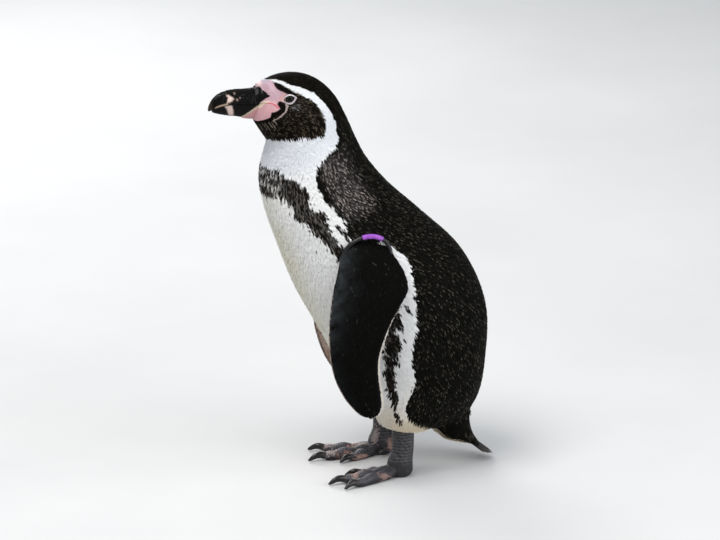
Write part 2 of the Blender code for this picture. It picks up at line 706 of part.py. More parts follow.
def band_points(count=26):
    """Centre line of the band: a ring round the root of the left flipper, lying on the flank."""
    out = []
    for k in range(count):
        a = 2 * math.pi * k / count
        y = BAND_CENTRE[0] + BAND_WIDE * math.sin(a)
        z = BAND_CENTRE[1] + BAND_TALL * math.cos(a) + 0.10 * (y - BAND_CENTRE[0])
        out.append((flank_x(y, z) + BAND_LIFT, y, z))
    pts = np.array(out)
    for _ in range(2):
        pts = (np.roll(pts, 1, axis=0) + pts * 2 + np.roll(pts, -1, axis=0)) / 4
    return even(pts, count)


def build_band(parts, cutters, mats, flipper, body):
    pts = place(band_points())
    count = len(pts)
    seg = np.linalg.norm(np.roll(pts, -1, axis=0) - pts, axis=1)
    # the sleeve covers the part over the top and rear of the shoulder, and the plain tube the rest
    top = int(np.argmax(pts[:, 2] + 0.35 * pts[:, 1]))
    first, last = (top - 2) % count, (top + 3) % count

    def run(i, j):
        out = [pts[i]]
        while i != j:
            i = (i + 1) % count
            out.append(pts[i])
        return np.array(out)

    sleeve, plain = run(first, last), run(last, first)
    trim = GAP + 1.1
    for path, at_ends in ((plain, True),):
        path[0] = path[0] + (path[1] - path[0]) / np.linalg.norm(path[1] - path[0]) * trim
        path[-1] = path[-1] + (path[-2] - path[-1]) / np.linalg.norm(path[-2] - path[-1]) * trim
    add_object("band_tube", tube(plain, [BAND_RADIUS] * len(plain), 7, reference=(1.0, 0, 0)), parts, mats["band"])
    add_object("band_sleeve", tube(sleeve, [BAND_RADIUS + 0.5] * len(sleeve), 8, reference=(1.0, 0, 0)), parts, mats["sleeve"])
    closed = np.vstack([pts, pts[:1]])
    rings = []
    for i in range(count + 1):
        a = pts[(i + 1) % count] - pts[(i - 1) % count]
        a /= np.linalg.norm(a)
        side = np.cross(a, (1.0, 0, 0))
        side /= np.linalg.norm(side)
        up = np.cross(side, a)
        angle = np.arange(8) * 2 * math.pi / 8
        r = BAND_RADIUS + 0.5 + GAP + 0.35
        rings.append(closed[i] + r * (np.outer(np.cos(angle), side) + np.outer(np.sin(angle), up)))
    rings[-1] = rings[0]
    bm = loft(rings, close=(False, False))
    bmesh.ops.remove_doubles(bm, verts=bm.verts, dist=1e-6)
    bmesh.ops.recalc_face_normals(bm, faces=bm.faces)
    if bm.calc_volume(signed=True) < 0:
        bmesh.ops.reverse_faces(bm, faces=bm.faces)
    cutter = add_object("cut_band", bm, cutters, cutter=True)
    boolean(flipper, cutter)
    flipper.modifiers.move(len(flipper.modifiers) - 1, 0)
    for name in ("breast", "neck", "belly"):
        if name in body:
            boolean(body[name], cutter)


# ---------------------------------------------------------------- assembly
def main():
    clear_scene()
    parts = collection("humboldt_penguin")
    cutters = collection("cutters", hidden=True)
    mats = {
        "belly": material("white_plumage", (0.78, 0.76, 0.72), 0.8),
        "breast": material("breast_plumage", (0.80, 0.79, 0.77), 0.8),
        "neck": material("neck_plumage", (0.05, 0.046, 0.044), 0.85),
        "head": material("head_plumage", (0.022, 0.020, 0.018), 0.8),
        "tail": material("tail_quills", (0.02, 0.019, 0.02), 0.65),
        "flipper": material("flipper_plumage", (0.012, 0.013, 0.015), 0.5),
        "leg": material("thigh_plumage", (0.70, 0.66, 0.58), 0.85),
        "foot": material("foot_skin", (0.075, 0.066, 0.068), 0.6),
        "claw": material("claw_horn", (0.012, 0.011, 0.011), 0.28),
        "bill": material("bill_horn", (0.025, 0.023, 0.022), 0.35),
        "eye": material("eye", (0.010, 0.009, 0.008), 0.05),
        "lid": material("eye_ring_skin", (0.42, 0.36, 0.34), 0.55),
        "band": material("band_tube_plastic", (0.012, 0.012, 0.013), 0.4),
        "sleeve": material("band_sleeve_plastic", (0.10, 0.03, 0.24), 0.4),
    }
    stations = body_stations()
    body = build_body(parts, mats, stations)
    grown = grown_body(cutters, GAP + 0.15, stations)
    build_tail(parts, mats)
    flippers = build_flippers(parts, mats, grown)
    build_legs(parts, mats, grown)
    build_feet(parts, cutters, mats)
    build_claws(parts, mats)
    build_bill(parts, mats)
    build_eyes(parts, cutters, mats, body["head"])
    build_band(parts, cutters, mats, flippers["l"], body)


main()
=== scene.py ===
"""The looks of a Humboldt penguin: one skin, a coat of mesh feathers over it, and the horn, eyes and band."""

import math

import bmesh
import bpy
import numpy as np
from mathutils import Matrix, Vector
from mathutils.bvhtree import BVHTree
from mathutils.kdtree import KDTree


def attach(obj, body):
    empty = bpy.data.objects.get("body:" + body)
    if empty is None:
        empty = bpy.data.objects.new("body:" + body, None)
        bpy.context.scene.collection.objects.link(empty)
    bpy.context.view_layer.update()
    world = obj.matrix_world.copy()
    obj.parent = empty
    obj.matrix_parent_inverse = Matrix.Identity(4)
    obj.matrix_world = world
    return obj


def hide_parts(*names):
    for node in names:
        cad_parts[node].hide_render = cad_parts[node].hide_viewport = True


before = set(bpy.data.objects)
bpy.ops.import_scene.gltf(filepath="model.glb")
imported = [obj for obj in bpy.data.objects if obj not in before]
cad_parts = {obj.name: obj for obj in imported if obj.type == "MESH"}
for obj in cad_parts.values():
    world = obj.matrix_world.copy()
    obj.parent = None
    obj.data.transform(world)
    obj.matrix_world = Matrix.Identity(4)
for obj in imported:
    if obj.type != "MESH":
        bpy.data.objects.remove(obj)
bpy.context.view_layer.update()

SEED = 20240
MM = 0.001
SHIFT = np.array([-1.7, 11.2, 0.0])

# ================================================================= the body's form (millimetres, middle plane X = 0)
HEAD_YAW = 9.0
YAW_PIVOT_Y = -45.0
EYE_Y, EYE_Z = -88.2, 419.0
EYE_RADIUS, EYE_SINK = 7.2, 6.9

STATIONS = [
    ("tail root",     (78.0, 37.5),    (121.0, 58.0),   19.0,  0.00,  2.0),
    ("vent",          (53.0, 43.0),    (130.5, 82.0),   41.0,  0.00,  2.0),
    ("rump",          (19.0, 61.0),    (135.5, 123.0),  63.0, -0.02,  2.05),
    ("lower belly",   (-12.0, 98.0),   (135.0, 178.0),  76.0, -0.03,  2.1),
    ("belly",         (-43.5, 155.0),  (109.5, 237.0),  81.5, -0.05,  2.1),
    ("breast",        (-71.5, 207.0),  (66.0, 281.0),   80.5, -0.05,  2.1),
    ("upper breast",  (-89.5, 254.0),  (29.0, 315.5),   72.0, -0.03,  2.1),
    ("crop",          (-102.5, 292.0), (5.0, 345.5),    60.0,  0.00,  2.1),
    ("neck",          (-108.5, 322.0), (-7.0, 369.0),   50.5,  0.00,  2.05),
    ("upper neck",    (-107.0, 344.0), (-16.5, 391.0),  43.0,  0.00,  2.0),
    ("throat",        (-102.0, 362.0), (-28.0, 412.5),  37.0,  0.02,  2.0),
    ("nape",          (-103.5, 370.5), (-41.5, 427.0),  33.0,  0.08,  2.0),
    ("hind crown",    (-107.0, 376.0), (-56.0, 436.0),  31.0,  0.12,  2.0),
    ("crown",         (-110.5, 381.5), (-72.0, 440.5),  29.0,  0.14,  2.0),
    ("brow",          (-114.0, 387.0), (-88.0, 440.5),  25.0,  0.12,  2.0),
    ("forehead",      (-117.5, 392.0), (-101.5, 437.5), 19.5,  0.08,  2.0),
    ("bill base",     (-119.5, 395.5), (-112.0, 433.5), 13.6,  0.02,  2.1),
]
T_OF = {row[0]: i for i, row in enumerate(STATIONS)}
ROWS = np.array([[*r[1], *r[2], r[3], r[4], r[5]] for r in STATIONS], float)
_mid = (ROWS[:, 0:2] + ROWS[:, 2:4]) / 2
CHORD = np.concatenate([[0], np.cumsum(np.linalg.norm(np.diff(_mid, axis=0), axis=1) ** 0.5)])
LAST = len(STATIONS) - 1


def hermite(x, y, at):
    """Cubic through the rows of y at the places x, with finite-difference slopes."""
    x, y, at = np.asarray(x, float), np.asarray(y, float), np.atleast_1d(at)
    h = np.diff(x)
    d = np.diff(y, axis=0) / h[:, None]
    m = np.empty_like(y)
    m[1:-1] = (d[:-1] * h[1:, None] + d[1:] * h[:-1, None]) / (h[:-1] + h[1:])[:, None]
    m[0], m[-1] = d[0], d[-1]
    i = np.clip(np.searchsorted(x, at, side="right") - 1, 0, len(h) - 1)
    s = ((at - x[i]) / h[i])[:, None]
    hh = h[i][:, None]
    return ((2 * s**3 - 3 * s**2 + 1) * y[i] + (s**3 - 2 * s**2 + s) * hh * m[i]
            + (3 * s**2 - 2 * s**3) * y[i + 1] + (s**3 - s**2) * hh * m[i + 1])


def smooth(a, b, x):
    s = np.clip((np.asarray(x, float) - a) / (b - a), 0, 1)
    return s * s * (3 - 2 * s)


def bump(p, centre, size):
    d = (p - np.array(centre)) / np.array(size)
    return np.exp(-np.sum(d * d, axis=-1))


def relief(p):
    q = np.concatenate([np.abs(p[..., 0:1]), p[..., 1:]], axis=-1)
    out = 1.5 * bump(q, (20, EYE_Y + 1, EYE_Z + 9.5), (11, 13, 4.5))
    out -= 1.7 * bump(q, (25, EYE_Y - 1, EYE_Z - 0.5), (10, 10, 6.5))
    out -= 1.6 * bump(q, (17, EYE_Y - 16, EYE_Z - 3), (9, 9, 8))
    out += 2.2 * bump(q, (27, EYE_Y + 13, EYE_Z - 19), (14, 17, 13))
    return out


def yawed(p, amount):
    """Turns points about the neck axis by a share of the head's full angle."""
    a = math.radians(HEAD_YAW) * amount
    c, s = np.cos(a), np.sin(a)
    y = p[:, 1] - YAW_PIVOT_Y
    return np.column_stack([p[:, 0] * c - y * s, p[:, 0] * s + y * c + YAW_PIVOT_Y, p[:, 2]])


def body(t, deg, flat=False):
    """Points of the outer form at station numbers t and angles deg: 0 in front, 90 on the bird's left, 180 behind."""
    t, deg = np.broadcast_arrays(np.asarray(t, float), np.asarray(deg, float))
    t, deg = t.ravel(), deg.ravel()
    tt = np.clip(t, 0.0, LAST)
    at = np.interp(tt, np.arange(len(STATIONS)), CHORD)
    fy, fz, by, bz, width, skew, power = hermite(CHORD, ROWS, at).T
    cy, cz, hy, hz = (fy + by) / 2, (fz + bz) / 2, (fy - by) / 2, (fz - bz) / 2
    a = np.radians(deg)
    c, s = np.cos(a), np.sin(a)
    c = np.sign(c) * np.abs(c) ** (2 / power)
    s = np.sign(s) * np.abs(s) ** (2 / power)
    along = c + skew * (1 - c * c)
    p = np.column_stack([width * s, cy + hy * along, cz + hz * along])
    k = tt > T_OF["throat"]
    if k.any():
        out = np.column_stack([width * s, hy * c, hz * c])[k]
        out /= np.linalg.norm(out, axis=1)[:, None]
        fade = smooth(T_OF["throat"], T_OF["nape"], tt[k]) * (1 - 0.8 * smooth(T_OF["forehead"], T_OF["bill base"], tt[k]))
        p[k] += out * (relief(p[k]) * fade)[:, None]
    return p if flat else yawed(p, smooth(T_OF["crop"], T_OF["nape"], tt))


def unyawed(p):
    a = -math.radians(HEAD_YAW)
    c, s = math.cos(a), math.sin(a)
    y = p[:, 1] - YAW_PIVOT_Y
    return np.column_stack([p[:, 0] * c - y * s, p[:, 0] * s + y * c + YAW_PIVOT_Y, p[:, 2]])


def taper(p, t, deg):
    """Draws the front edge of the face in to meet the base of the bill; the forehead stays up as a soft fold over it."""
    w = smooth(15.10, 15.98, t)
    top = smooth(144, 166, fold(deg))
    q = unyawed(p)
    over = q[:, 2] > 413.2
    q[:, 0] *= 1 - 0.135 * w
    q[:, 2] = np.where(over, 413.2 + (q[:, 2] - 413.2) * (1 - 0.185 * w * (1 - top)), q[:, 2] + 0.2 * w)
    q[:, 1] -= 2.2 * w * top
    q[:, 2] += 0.9 * top * np.exp(-((t - 15.5) / 0.35) ** 2)
    return np.where((w > 0)[:, None], yawed(q, 1.0), p)


def formed(t, deg):
    t, deg = np.broadcast_arrays(np.asarray(t, float), np.asarray(deg, float))
    return taper(body(t, deg), t.ravel(), deg.ravel())


def basis(point, a, b, ea, eb, flip=1.0):
    """Point, steps along a and b in mm per unit, and outward normal of a surface point(a, b)."""
    p = point(a, b)
    a1, a0 = a + ea, a - ea
    pa = (point(a1, b) - point(a0, b)) / (2 * ea)
    pb = (point(a, b + eb) - point(a, b - eb)) / (2 * eb)
    n = np.cross(pb, pa) * flip
    n /= np.maximum(np.linalg.norm(n, axis=1), 1e-9)[:, None]
    return p, pa, pb, n


def body_basis(t, deg):
    t = np.clip(t, 0.012, LAST - 0.012)
    return basis(formed, t, deg, 0.01, 0.6)


TAIL_STATION = 0.4      # share of the tail's length that one station below the root stands for


def joined(t, deg):
    """The outer form, carried on below station 0 over the tail."""
    t, deg = np.broadcast_arrays(np.asarray(t, float), np.asarray(deg, float))
    t, deg = t.ravel(), deg.ravel()
    p = formed(np.maximum(t, 0.0), deg)
    k = t < 0
    if k.any():
        p[k] = tail_point(-t[k] * TAIL_STATION, deg[k])
    return p


def coat_basis(t, deg):
    """As body_basis, and on over the tail, easing over the hollow where they meet."""
    t, deg = np.broadcast_arrays(np.clip(np.asarray(t, float), -2.3, LAST - 0.012), np.asarray(deg, float))
    t, deg = t.ravel(), deg.ravel()
    e = np.interp(t, [0.4, 0.9], [0.10, 0.01])
    p = joined(t, deg)
    pa = (joined(t + e, deg) - joined(t - e, deg)) / (2 * e)[:, None]
    pb = (joined(t, deg + 0.6) - joined(t, deg - 0.6)) / 1.2
    n = np.cross(pb, pa)
    n /= np.maximum(np.linalg.norm(n, axis=1), 1e-9)[:, None]
    return p, pa, pb, n


# ================================================================= smooth noise, from sines (the same on every run)
def noise3(p, size, seed=0):
    """Soft noise from -1 to 1 at points p, about size across."""
    r = np.random.default_rng(SEED + seed)
    out = np.zeros(len(p))
    for k in range(7):
        d = r.normal(size=3)
        d /= np.linalg.norm(d)
        f = 2 * math.pi / size * r.uniform(0.55, 1.5)
        out += np.sin(p @ d * f + r.uniform(0, 6.28)) * np.sin((p @ np.roll(d, 1)) * f * 0.83 + r.uniform(0, 6.28))
    return out / 2.6


# ================================================================= the markings, in station number and angle
def curve(pairs):
    """(at, value) pairs to a function of at."""
    x, y = np.array(sorted(pairs)).T
    return lambda v: np.interp(v, x, y)


# angle where the white of the front ends, against station number
WHITE_EDGE = curve([(9.32, 119), (8.82, 125), (8.55, 119.5), (8.36, 101), (8.13, 87), (7.94, 85), (7.45, 83), (6.99, 85), (6.57, 87.5),
                    (6.22, 89), (5.90, 84), (5.73, 84), (5.5, 95), (5.35, 104.5), (5.04, 108.5), (4.81, 109), (4.54, 104), (4.35, 98),
                    (3.97, 91.0), (3.70, 86.5), (3.44, 79.1), (3.25, 74.5), (3.07, 71.3), (2.86, 70.2), (2.66, 69), (2.50, 65.3), (2.36, 58.8), (2.16, 53.1), (2.0, 50), (1.5, 42), (0.8, 36), (0.0, 30)])
# station number where the black of the cheek and chin ends, against angle
THROAT_EDGE = curve([(0, 11.25), (10.5, 11.23), (37, 10.81), (60, 10.08), (88, 9.55), (101, 9.32), (110, 9.2)])
LOOP_IN = curve([(9.2, 99), (9.32, 101), (9.39, 105.5), (9.70, 110), (10.08, 113.5), (10.59, 116), (11.25, 120.5), (11.81, 121.5), (12.57, 124),
                 (13.14, 126.0), (13.42, 128.0), (13.64, 130.4), (13.84, 133.5), (14.05, 138.0), (14.22, 141.8), (14.34, 145.2), (14.56, 149.4), (14.70, 152.6),
                 (14.96, 160), (15.25, 168), (16, 178)])
LOOP_OUT = curve([(8.82, 126), (9.44, 127), (9.98, 126.8), (10.76, 129.5), (11.53, 133.5), (12.44, 134.5), (13.08, 135.6), (13.47, 138.0), (13.75, 142.0), (13.88, 145.0),
                  (14.06, 149.4), (14.30, 154.0), (14.52, 158.0), (14.78, 163.0), (15.00, 167.5), (15.25, 171.5), (16, 179.5)])
# outline of the bare skin of the face, in angle and station
BARE = np.array([(190, 15.40), (180, 15.40), (172.5, 15.32), (164, 15.10), (152.5, 14.80), (147.0, 14.80), (138.8, 14.74), (129.7, 14.54), (124.7, 14.21),
                 (121.7, 13.82), (119, 13.42), (112, 13.26), (105.2, 13.40), (105.4, 13.62), (106.2, 13.80), (105.8, 13.98), (103.6, 14.11), (97.8, 14.13),
                 (94.5, 13.92), (91.0, 13.72), (86.5, 13.86), (82, 14.05), (77.5, 14.40),
                 (66, 14.25), (53, 14.60), (38, 14.98), (13, 15.50), (0, 15.62), (-10, 15.62), (-10, 17), (190, 17)], float)
BARE_SCALE = np.array([0.45, 12.5])
BAND = np.array([(-2, 8.88), (33.5, 8.78), (55, 8.17), (64, 7.90), (71.5, 7.68), (72.5, 7.37), (70, 7.06), (71.5, 6.84), (80, 6.72), (79, 6.5), (75, 6.45),
                 (76, 6.15), (75.5, 5.84), (75, 5.65), (79, 5.2), (83, 4.7), (85.6, 4.27), (82.6, 4.10), (79.0, 4.12), (79.6, 3.98), (76, 3.76), (72.6, 3.70), (70.8, 3.52), (66.3, 3.40), (63, 3.30),
                 (60.3, 3.15), (56.6, 3.04), (53.3, 2.81), (51.3, 2.67), (49.6, 2.37), (43.6, 2.28), (39.8, 2.10), (34.8, 1.81), (28, 1.5), (21, 1.2),
                 (17, 1.25), (25, 1.6), (32.5, 1.82), (37.6, 2.10), (40.1, 2.34), (42.8, 2.51), (45.3, 2.70), (49.1, 3.0), (50.8, 3.15), (55.3, 3.41), (58.6, 3.58), (62.1, 3.74), (65.3, 3.86), (69.1, 3.96), (74, 4.09),
                 (73, 4.4), (71, 4.9), (68.5, 5.46), (64.5, 5.69), (62.5, 6.15), (55.5, 6.57), (49.5, 6.91), (46, 7.37), (32.5, 7.60), (9.5, 7.64), (-2, 7.64)], float)
BAND_SCALE = np.array([1.05, 27.0])      # rough mm for a degree and for a station


def polygon_distance(x, y, poly):
    """Signed distance to a closed polygon, positive inside, in the polygon's own units."""
    x, y = x[:, None], y[:, None]
    a, b = poly, np.roll(poly, -1, axis=0)
    ex, ey = b[:, 0] - a[:, 0], b[:, 1] - a[:, 1]
    wx, wy = x - a[:, 0], y - a[:, 1]
    k = np.clip((wx * ex + wy * ey) / (ex * ex + ey * ey), 0, 1)
    d = np.sqrt(((wx - k * ex) ** 2 + (wy - k * ey) ** 2).min(axis=1))
    cross = ((a[:, 1] > y) != (b[:, 1] > y)) & (x < (ex * (y - a[:, 1]) / np.where(ey == 0, 1e-9, ey) + a[:, 0]))
    return np.where(cross.sum(axis=1) % 2 == 1, d, -d)


def line_distance(x, y, pts):
    """Distance to an open line through pts and how far along it is, 0 to 1."""
    a, b = pts[:-1], pts[1:]
    e = b - a
    x, y = x[:, None], y[:, None]
    wx, wy = x - a[:, 0], y - a[:, 1]
    k = np.clip((wx * e[:, 0] + wy * e[:, 1]) / (e ** 2).sum(axis=1), 0, 1)
    d = np.sqrt((wx - k * e[:, 0]) ** 2 + (wy - k * e[:, 1]) ** 2)
    i = d.argmin(axis=1)
    r = np.arange(len(d))
    return d[r, i], (i + k[r, i]) / len(a)


def fold(deg):
    """An angle to 0 to 180, the same on both sides of the bird."""
    d = np.mod(deg, 360.0)
    return np.where(d > 180, 360 - d, d)


WHITE, BACK, CHEEK, CROWN, BANDED = range(5)


def marking(t, deg):
    """Which colour area a place on the body is in, and its signed distance (mm) into the breast band."""
    d = fold(deg)
    out = np.full(len(t), WHITE)
    head = t > 9.2
    edge = WHITE_EDGE(t)
    out[(~head) & (d > edge)] = BACK
    loop = head & (d >= LOOP_IN(t)) & (d <= LOOP_OUT(t))
    crown = head & (d > LOOP_OUT(t))
    out[crown] = CROWN
    cheek = head & (d < LOOP_IN(t)) & (t >= THROAT_EDGE(d))
    out[cheek] = CHEEK
    out[loop] = WHITE
    low = t < 9.3
    sd = np.full(len(t), -50.0)
    sd[low] = polygon_distance(d[low] * BAND_SCALE[0], t[low] * BAND_SCALE[1], BAND * BAND_SCALE)
    return out, sd


def bare(t, deg):
    """How far a place is inside the bare skin of the face, in stations (negative outside it)."""
    t, d = np.broadcast_arrays(np.asarray(t, float), fold(np.asarray(deg, float)))
    out = np.full(t.shape, -3.0)
    near = t > 11.5
    if near.any():
        out[near] = polygon_distance(d[near] * BARE_SCALE[0], t[near] * BARE_SCALE[1], BARE * BARE_SCALE) / 12.5
    return out


# ================================================================= making meshes
def to_frame(p):
    return (np.asarray(p, float) + SHIFT) * MM


def make(name, points, faces, colours=None, uvs=None, material=None, smooth_shade=True):
    """A mesh object from points in mm and a list of face arrays of equal width. uvs maps a layer name to a value for each point."""
    me = bpy.data.meshes.new(name)
    pts = to_frame(points).astype(np.float32)
    me.vertices.add(len(pts))
    me.vertices.foreach_set("co", pts.ravel())
    faces = [np.asarray(f, np.int32) for f in faces if len(f)]
    loops = np.concatenate([f.ravel() for f in faces])
    sizes = np.concatenate([np.full(len(f), f.shape[1], np.int32) for f in faces])
    me.loops.add(len(loops))
    me.loops.foreach_set("vertex_index", loops)
    me.polygons.add(len(sizes))
    me.polygons.foreach_set("loop_start", np.concatenate([[0], np.cumsum(sizes)[:-1]]).astype(np.int32))
    me.update(calc_edges=True)
    me.polygons.foreach_set("use_smooth", np.full(len(sizes), smooth_shade))
    for key, uv in (uvs or {}).items():
        layer = me.uv_layers.new(name=key)
        layer.data.foreach_set("uv", np.asarray(uv, np.float32)[loops].ravel())
    if colours is not None:
        rgba = np.ones((len(pts), 4), np.float32)
        rgba[:, :3] = colours[:, :3]
        if colours.shape[1] > 3:
            rgba[:, 3] = colours[:, 3]
        layer = me.color_attributes.new(name="tint", type="FLOAT_COLOR", domain="POINT")
        layer.data.foreach_set("color", rgba.ravel())
    if material:
        me.materials.append(material)
    ob = bpy.data.objects.new(name, me)
    bpy.context.scene.collection.objects.link(ob)
    return ob


def grid_faces(rows, cols, closed=True):
    """Quads over a grid of points, round each row if closed."""
    i, j = np.meshgrid(np.arange(rows - 1), np.arange(cols if closed else cols - 1), indexing="ij")
    k = (j + 1) % cols
    return np.stack([i * cols + j, i * cols + k, (i + 1) * cols + k, (i + 1) * cols + j], axis=-1).reshape(-1, 4)


def lofted(name, rings, colours=None, material=None, caps=True, uvs=None):
    """Closed loft through rings (rows, cols, 3), with a point at each end."""
    rings = np.asarray(rings, float)
    n, m = rings.shape[:2]
    pts = rings.reshape(-1, 3)
    faces = [grid_faces(n, m)]
    if caps:
        pts = np.vstack([pts, rings[0].mean(axis=0), rings[-1].mean(axis=0)])
        j = np.arange(m)
        k = (j + 1) % m
        faces.append(np.vstack([np.stack([k, j, np.full(m, n * m)], axis=1),
                                np.stack([(n - 1) * m + j, (n - 1) * m + k, np.full(m, n * m + 1)], axis=1)]))
        if colours is not None:
            colours = np.vstack([colours, colours[:1], colours[-1:]])
    ob = make(name, pts, faces, colours, uvs, material)
    bm = bmesh.new()
    bm.from_mesh(ob.data)
    if bm.calc_volume(signed=True) < 0:
        bmesh.ops.reverse_faces(bm, faces=bm.faces)
        bm.to_mesh(ob.data)
    bm.free()
    return ob


def remove(ob):
    me = ob.data
    bpy.data.objects.remove(ob, do_unlink=True)
    bpy.data.meshes.remove(me)


def apply_modifiers(ob):
    graph = bpy.context.evaluated_depsgraph_get()
    me = bpy.data.meshes.new_from_object(ob.evaluated_get(graph))
    old = ob.data
    ob.modifiers.clear()
    ob.data = me
    name = old.name
    bpy.data.meshes.remove(old)
    me.name = name


def set_tint(ob, colours):
    me = ob.data
    if "tint" in me.color_attributes:
        me.color_attributes.remove(me.color_attributes["tint"])
    rgba = np.ones((len(me.vertices), 4), np.float32)
    rgba[:, :colours.shape[1]] = colours
    me.color_attributes.new(name="tint", type="FLOAT_COLOR", domain="POINT").data.foreach_set("color", rgba.ravel())


def points_of(ob):
    co = np.empty(len(ob.data.vertices) * 3, np.float32)
    ob.data.vertices.foreach_get("co", co)
    return co.reshape(-1, 3).astype(float) / MM - SHIFT


def set_points(ob, p):
    ob.data.vertices.foreach_set("co", to_frame(p).astype(np.float32).ravel())
    ob.data.update()


# ================================================================= materials
def new_material(name):
    m = bpy.data.materials.new(name)
    m.use_nodes = True
    return m, m.node_tree.nodes, m.node_tree.links, m.node_tree.nodes["Principled BSDF"]


def set_inputs(shader, **values):
    for key, value in values.items():
        shader.inputs[key.replace("_", " ")].default_value = value


def mix_colour(nodes, links, kind, factor, a, b):
    n = nodes.new("ShaderNodeMix")
    n.data_type = "RGBA"
    n.blend_type = kind
    for socket, value in ((n.inputs[0], factor), (n.inputs[6], a), (n.inputs[7], b)):
        if hasattr(value, "is_output"):
            links.new(value, socket)
        elif isinstance(value, (tuple, list)):
            socket.default_value = (*value, 1.0)
        else:
            socket.default_value = value
    return n.outputs[2]


def ramp(nodes, links, source, stops):
    n = nodes.new("ShaderNodeValToRGB")
    while len(n.color_ramp.elements) < len(stops):
        n.color_ramp.elements.new(0.5)
    for e, (at, c) in zip(n.color_ramp.elements, stops):
        e.position = at
        e.color = (*c, 1.0) if isinstance(c, tuple) else (c, c, c, 1.0)
    links.new(source, n.inputs[0])
    return n.outputs[0]


def noise_node(nodes, links, scale, detail=3.0, rough=0.55, coords=None, stretch=None):
    tex = nodes.new("ShaderNodeTexCoord")
    src = coords or tex.outputs["Object"]
    if stretch:
        mp = nodes.new("ShaderNodeMapping")
        mp.inputs["Scale"].default_value = stretch
        links.new(src, mp.inputs[0])
        src = mp.outputs[0]
    n = nodes.new("ShaderNodeTexNoise")
    n.inputs["Scale"].default_value = scale
    n.inputs["Detail"].default_value = detail
    n.inputs["Roughness"].default_value = rough
    links.new(src, n.inputs["Vector"])
    return n.outputs["Fac"]


def add_bump(nodes, links, shader, height, strength, distance, under=None):
    b = nodes.new("ShaderNodeBump")
    b.inputs["Strength"].default_value = strength
    b.inputs["Distance"].default_value = distance
    links.new(height, b.inputs["Height"])
    if under:
        links.new(under, b.inputs["Normal"])
    links.new(b.outputs[0], shader.inputs["Normal"])
    return b.outputs[0]


def tint_node(nodes):
    n = nodes.new("ShaderNodeAttribute")
    n.attribute_name = "tint"
    return n


def feather_material(name, rough=0.62, specular=0.3, sheen=0.15, barbs=0.35):
    """Barbs run slantwise from each shaft; the tint rides on the vanes."""
    m, nodes, links, shader = new_material(name)
    tint = tint_node(nodes)
    grain = noise_node(nodes, links, 1500.0, 2.0)
    tone = ramp(nodes, links, grain, [(0.3, 0.80), (0.7, 1.0)])
    colour = mix_colour(nodes, links, "MULTIPLY", 1.0, tint.outputs["Color"], tone)
    links.new(colour, shader.inputs["Base Color"])
    uv = nodes.new("ShaderNodeUVMap")
    uv.uv_map = "Vane"
    sep = nodes.new("ShaderNodeSeparateXYZ")
    links.new(uv.outputs[0], sep.inputs[0])
    ab = nodes.new("ShaderNodeMath")
    ab.operation = "ABSOLUTE"
    links.new(sep.outputs[0], ab.inputs[0])
    mad = nodes.new("ShaderNodeMath")
    mad.operation = "MULTIPLY_ADD"
    links.new(ab.outputs[0], mad.inputs[0])
    mad.inputs[1].default_value = -0.9
    links.new(sep.outputs[1], mad.inputs[2])
    wave = nodes.new("ShaderNodeMath")
    wave.operation = "MULTIPLY"
    links.new(mad.outputs[0], wave.inputs[0])
    wave.inputs[1].default_value = 17.0
    sine = nodes.new("ShaderNodeMath")
    sine.operation = "SINE"
    links.new(wave.outputs[0], sine.inputs[0])
    add_bump(nodes, links, shader, sine.outputs[0], barbs, 0.00012)
    set_inputs(shader, Roughness=rough, Specular_IOR_Level=specular, Sheen_Weight=sheen, Sheen_Roughness=0.45)
    return m


def skin_material():
    """Under the coat the skin shows the same markings; the bare face and the feet are its own surface. Alpha marks the scaly feet."""
    m, nodes, links, shader = new_material("penguin_skin")
    tint = tint_node(nodes)
    fine = noise_node(nodes, links, 900.0, 4.0, 0.6)
    tone = ramp(nodes, links, fine, [(0.25, 0.78), (0.5, 0.98), (0.78, 1.06)])
    colour = mix_colour(nodes, links, "MULTIPLY", 1.0, tint.outputs["Color"], tone)
    tex = nodes.new("ShaderNodeTexCoord")
    scales = nodes.new("ShaderNodeTexVoronoi")
    scales.feature = "DISTANCE_TO_EDGE"
    scales.inputs["Scale"].default_value = 760.0
    links.new(tex.outputs["Object"], scales.inputs["Vector"])
    net = ramp(nodes, links, scales.outputs["Distance"], [(0.0, 0.36), (0.08, 0.72), (0.30, 1.0)])
    netted = mix_colour(nodes, links, "MULTIPLY", 1.0, colour, net)
    both = nodes.new("ShaderNodeMix")
    both.data_type = "RGBA"
    links.new(tint.outputs["Alpha"], both.inputs[0])
    links.new(colour, both.inputs[6])
    links.new(netted, both.inputs[7])
    links.new(both.outputs[2], shader.inputs["Base Color"])
    pores = nodes.new("ShaderNodeTexVoronoi")
    pores.inputs["Scale"].default_value = 900.0
    links.new(tex.outputs["Object"], pores.inputs["Vector"])
    height = nodes.new("ShaderNodeMix")
    height.data_type = "FLOAT"
    links.new(tint.outputs["Alpha"], height.inputs[0])
    links.new(pores.outputs["Distance"], height.inputs[2])
    links.new(net, height.inputs[3])
    under = nodes.new("ShaderNodeBump")
    under.inputs["Strength"].default_value = 0.25
    under.inputs["Distance"].default_value = 0.0002
    links.new(fine, under.inputs["Height"])
    add_bump(nodes, links, shader, height.outputs[0], 0.45, 0.0003, under.outputs[0])
    rough = ramp(nodes, links, fine, [(0.2, 0.34), (0.8, 0.55)])
    links.new(rough, shader.inputs["Roughness"])
    set_inputs(shader, Specular_IOR_Level=0.3, Subsurface_Weight=0.0)
    return m


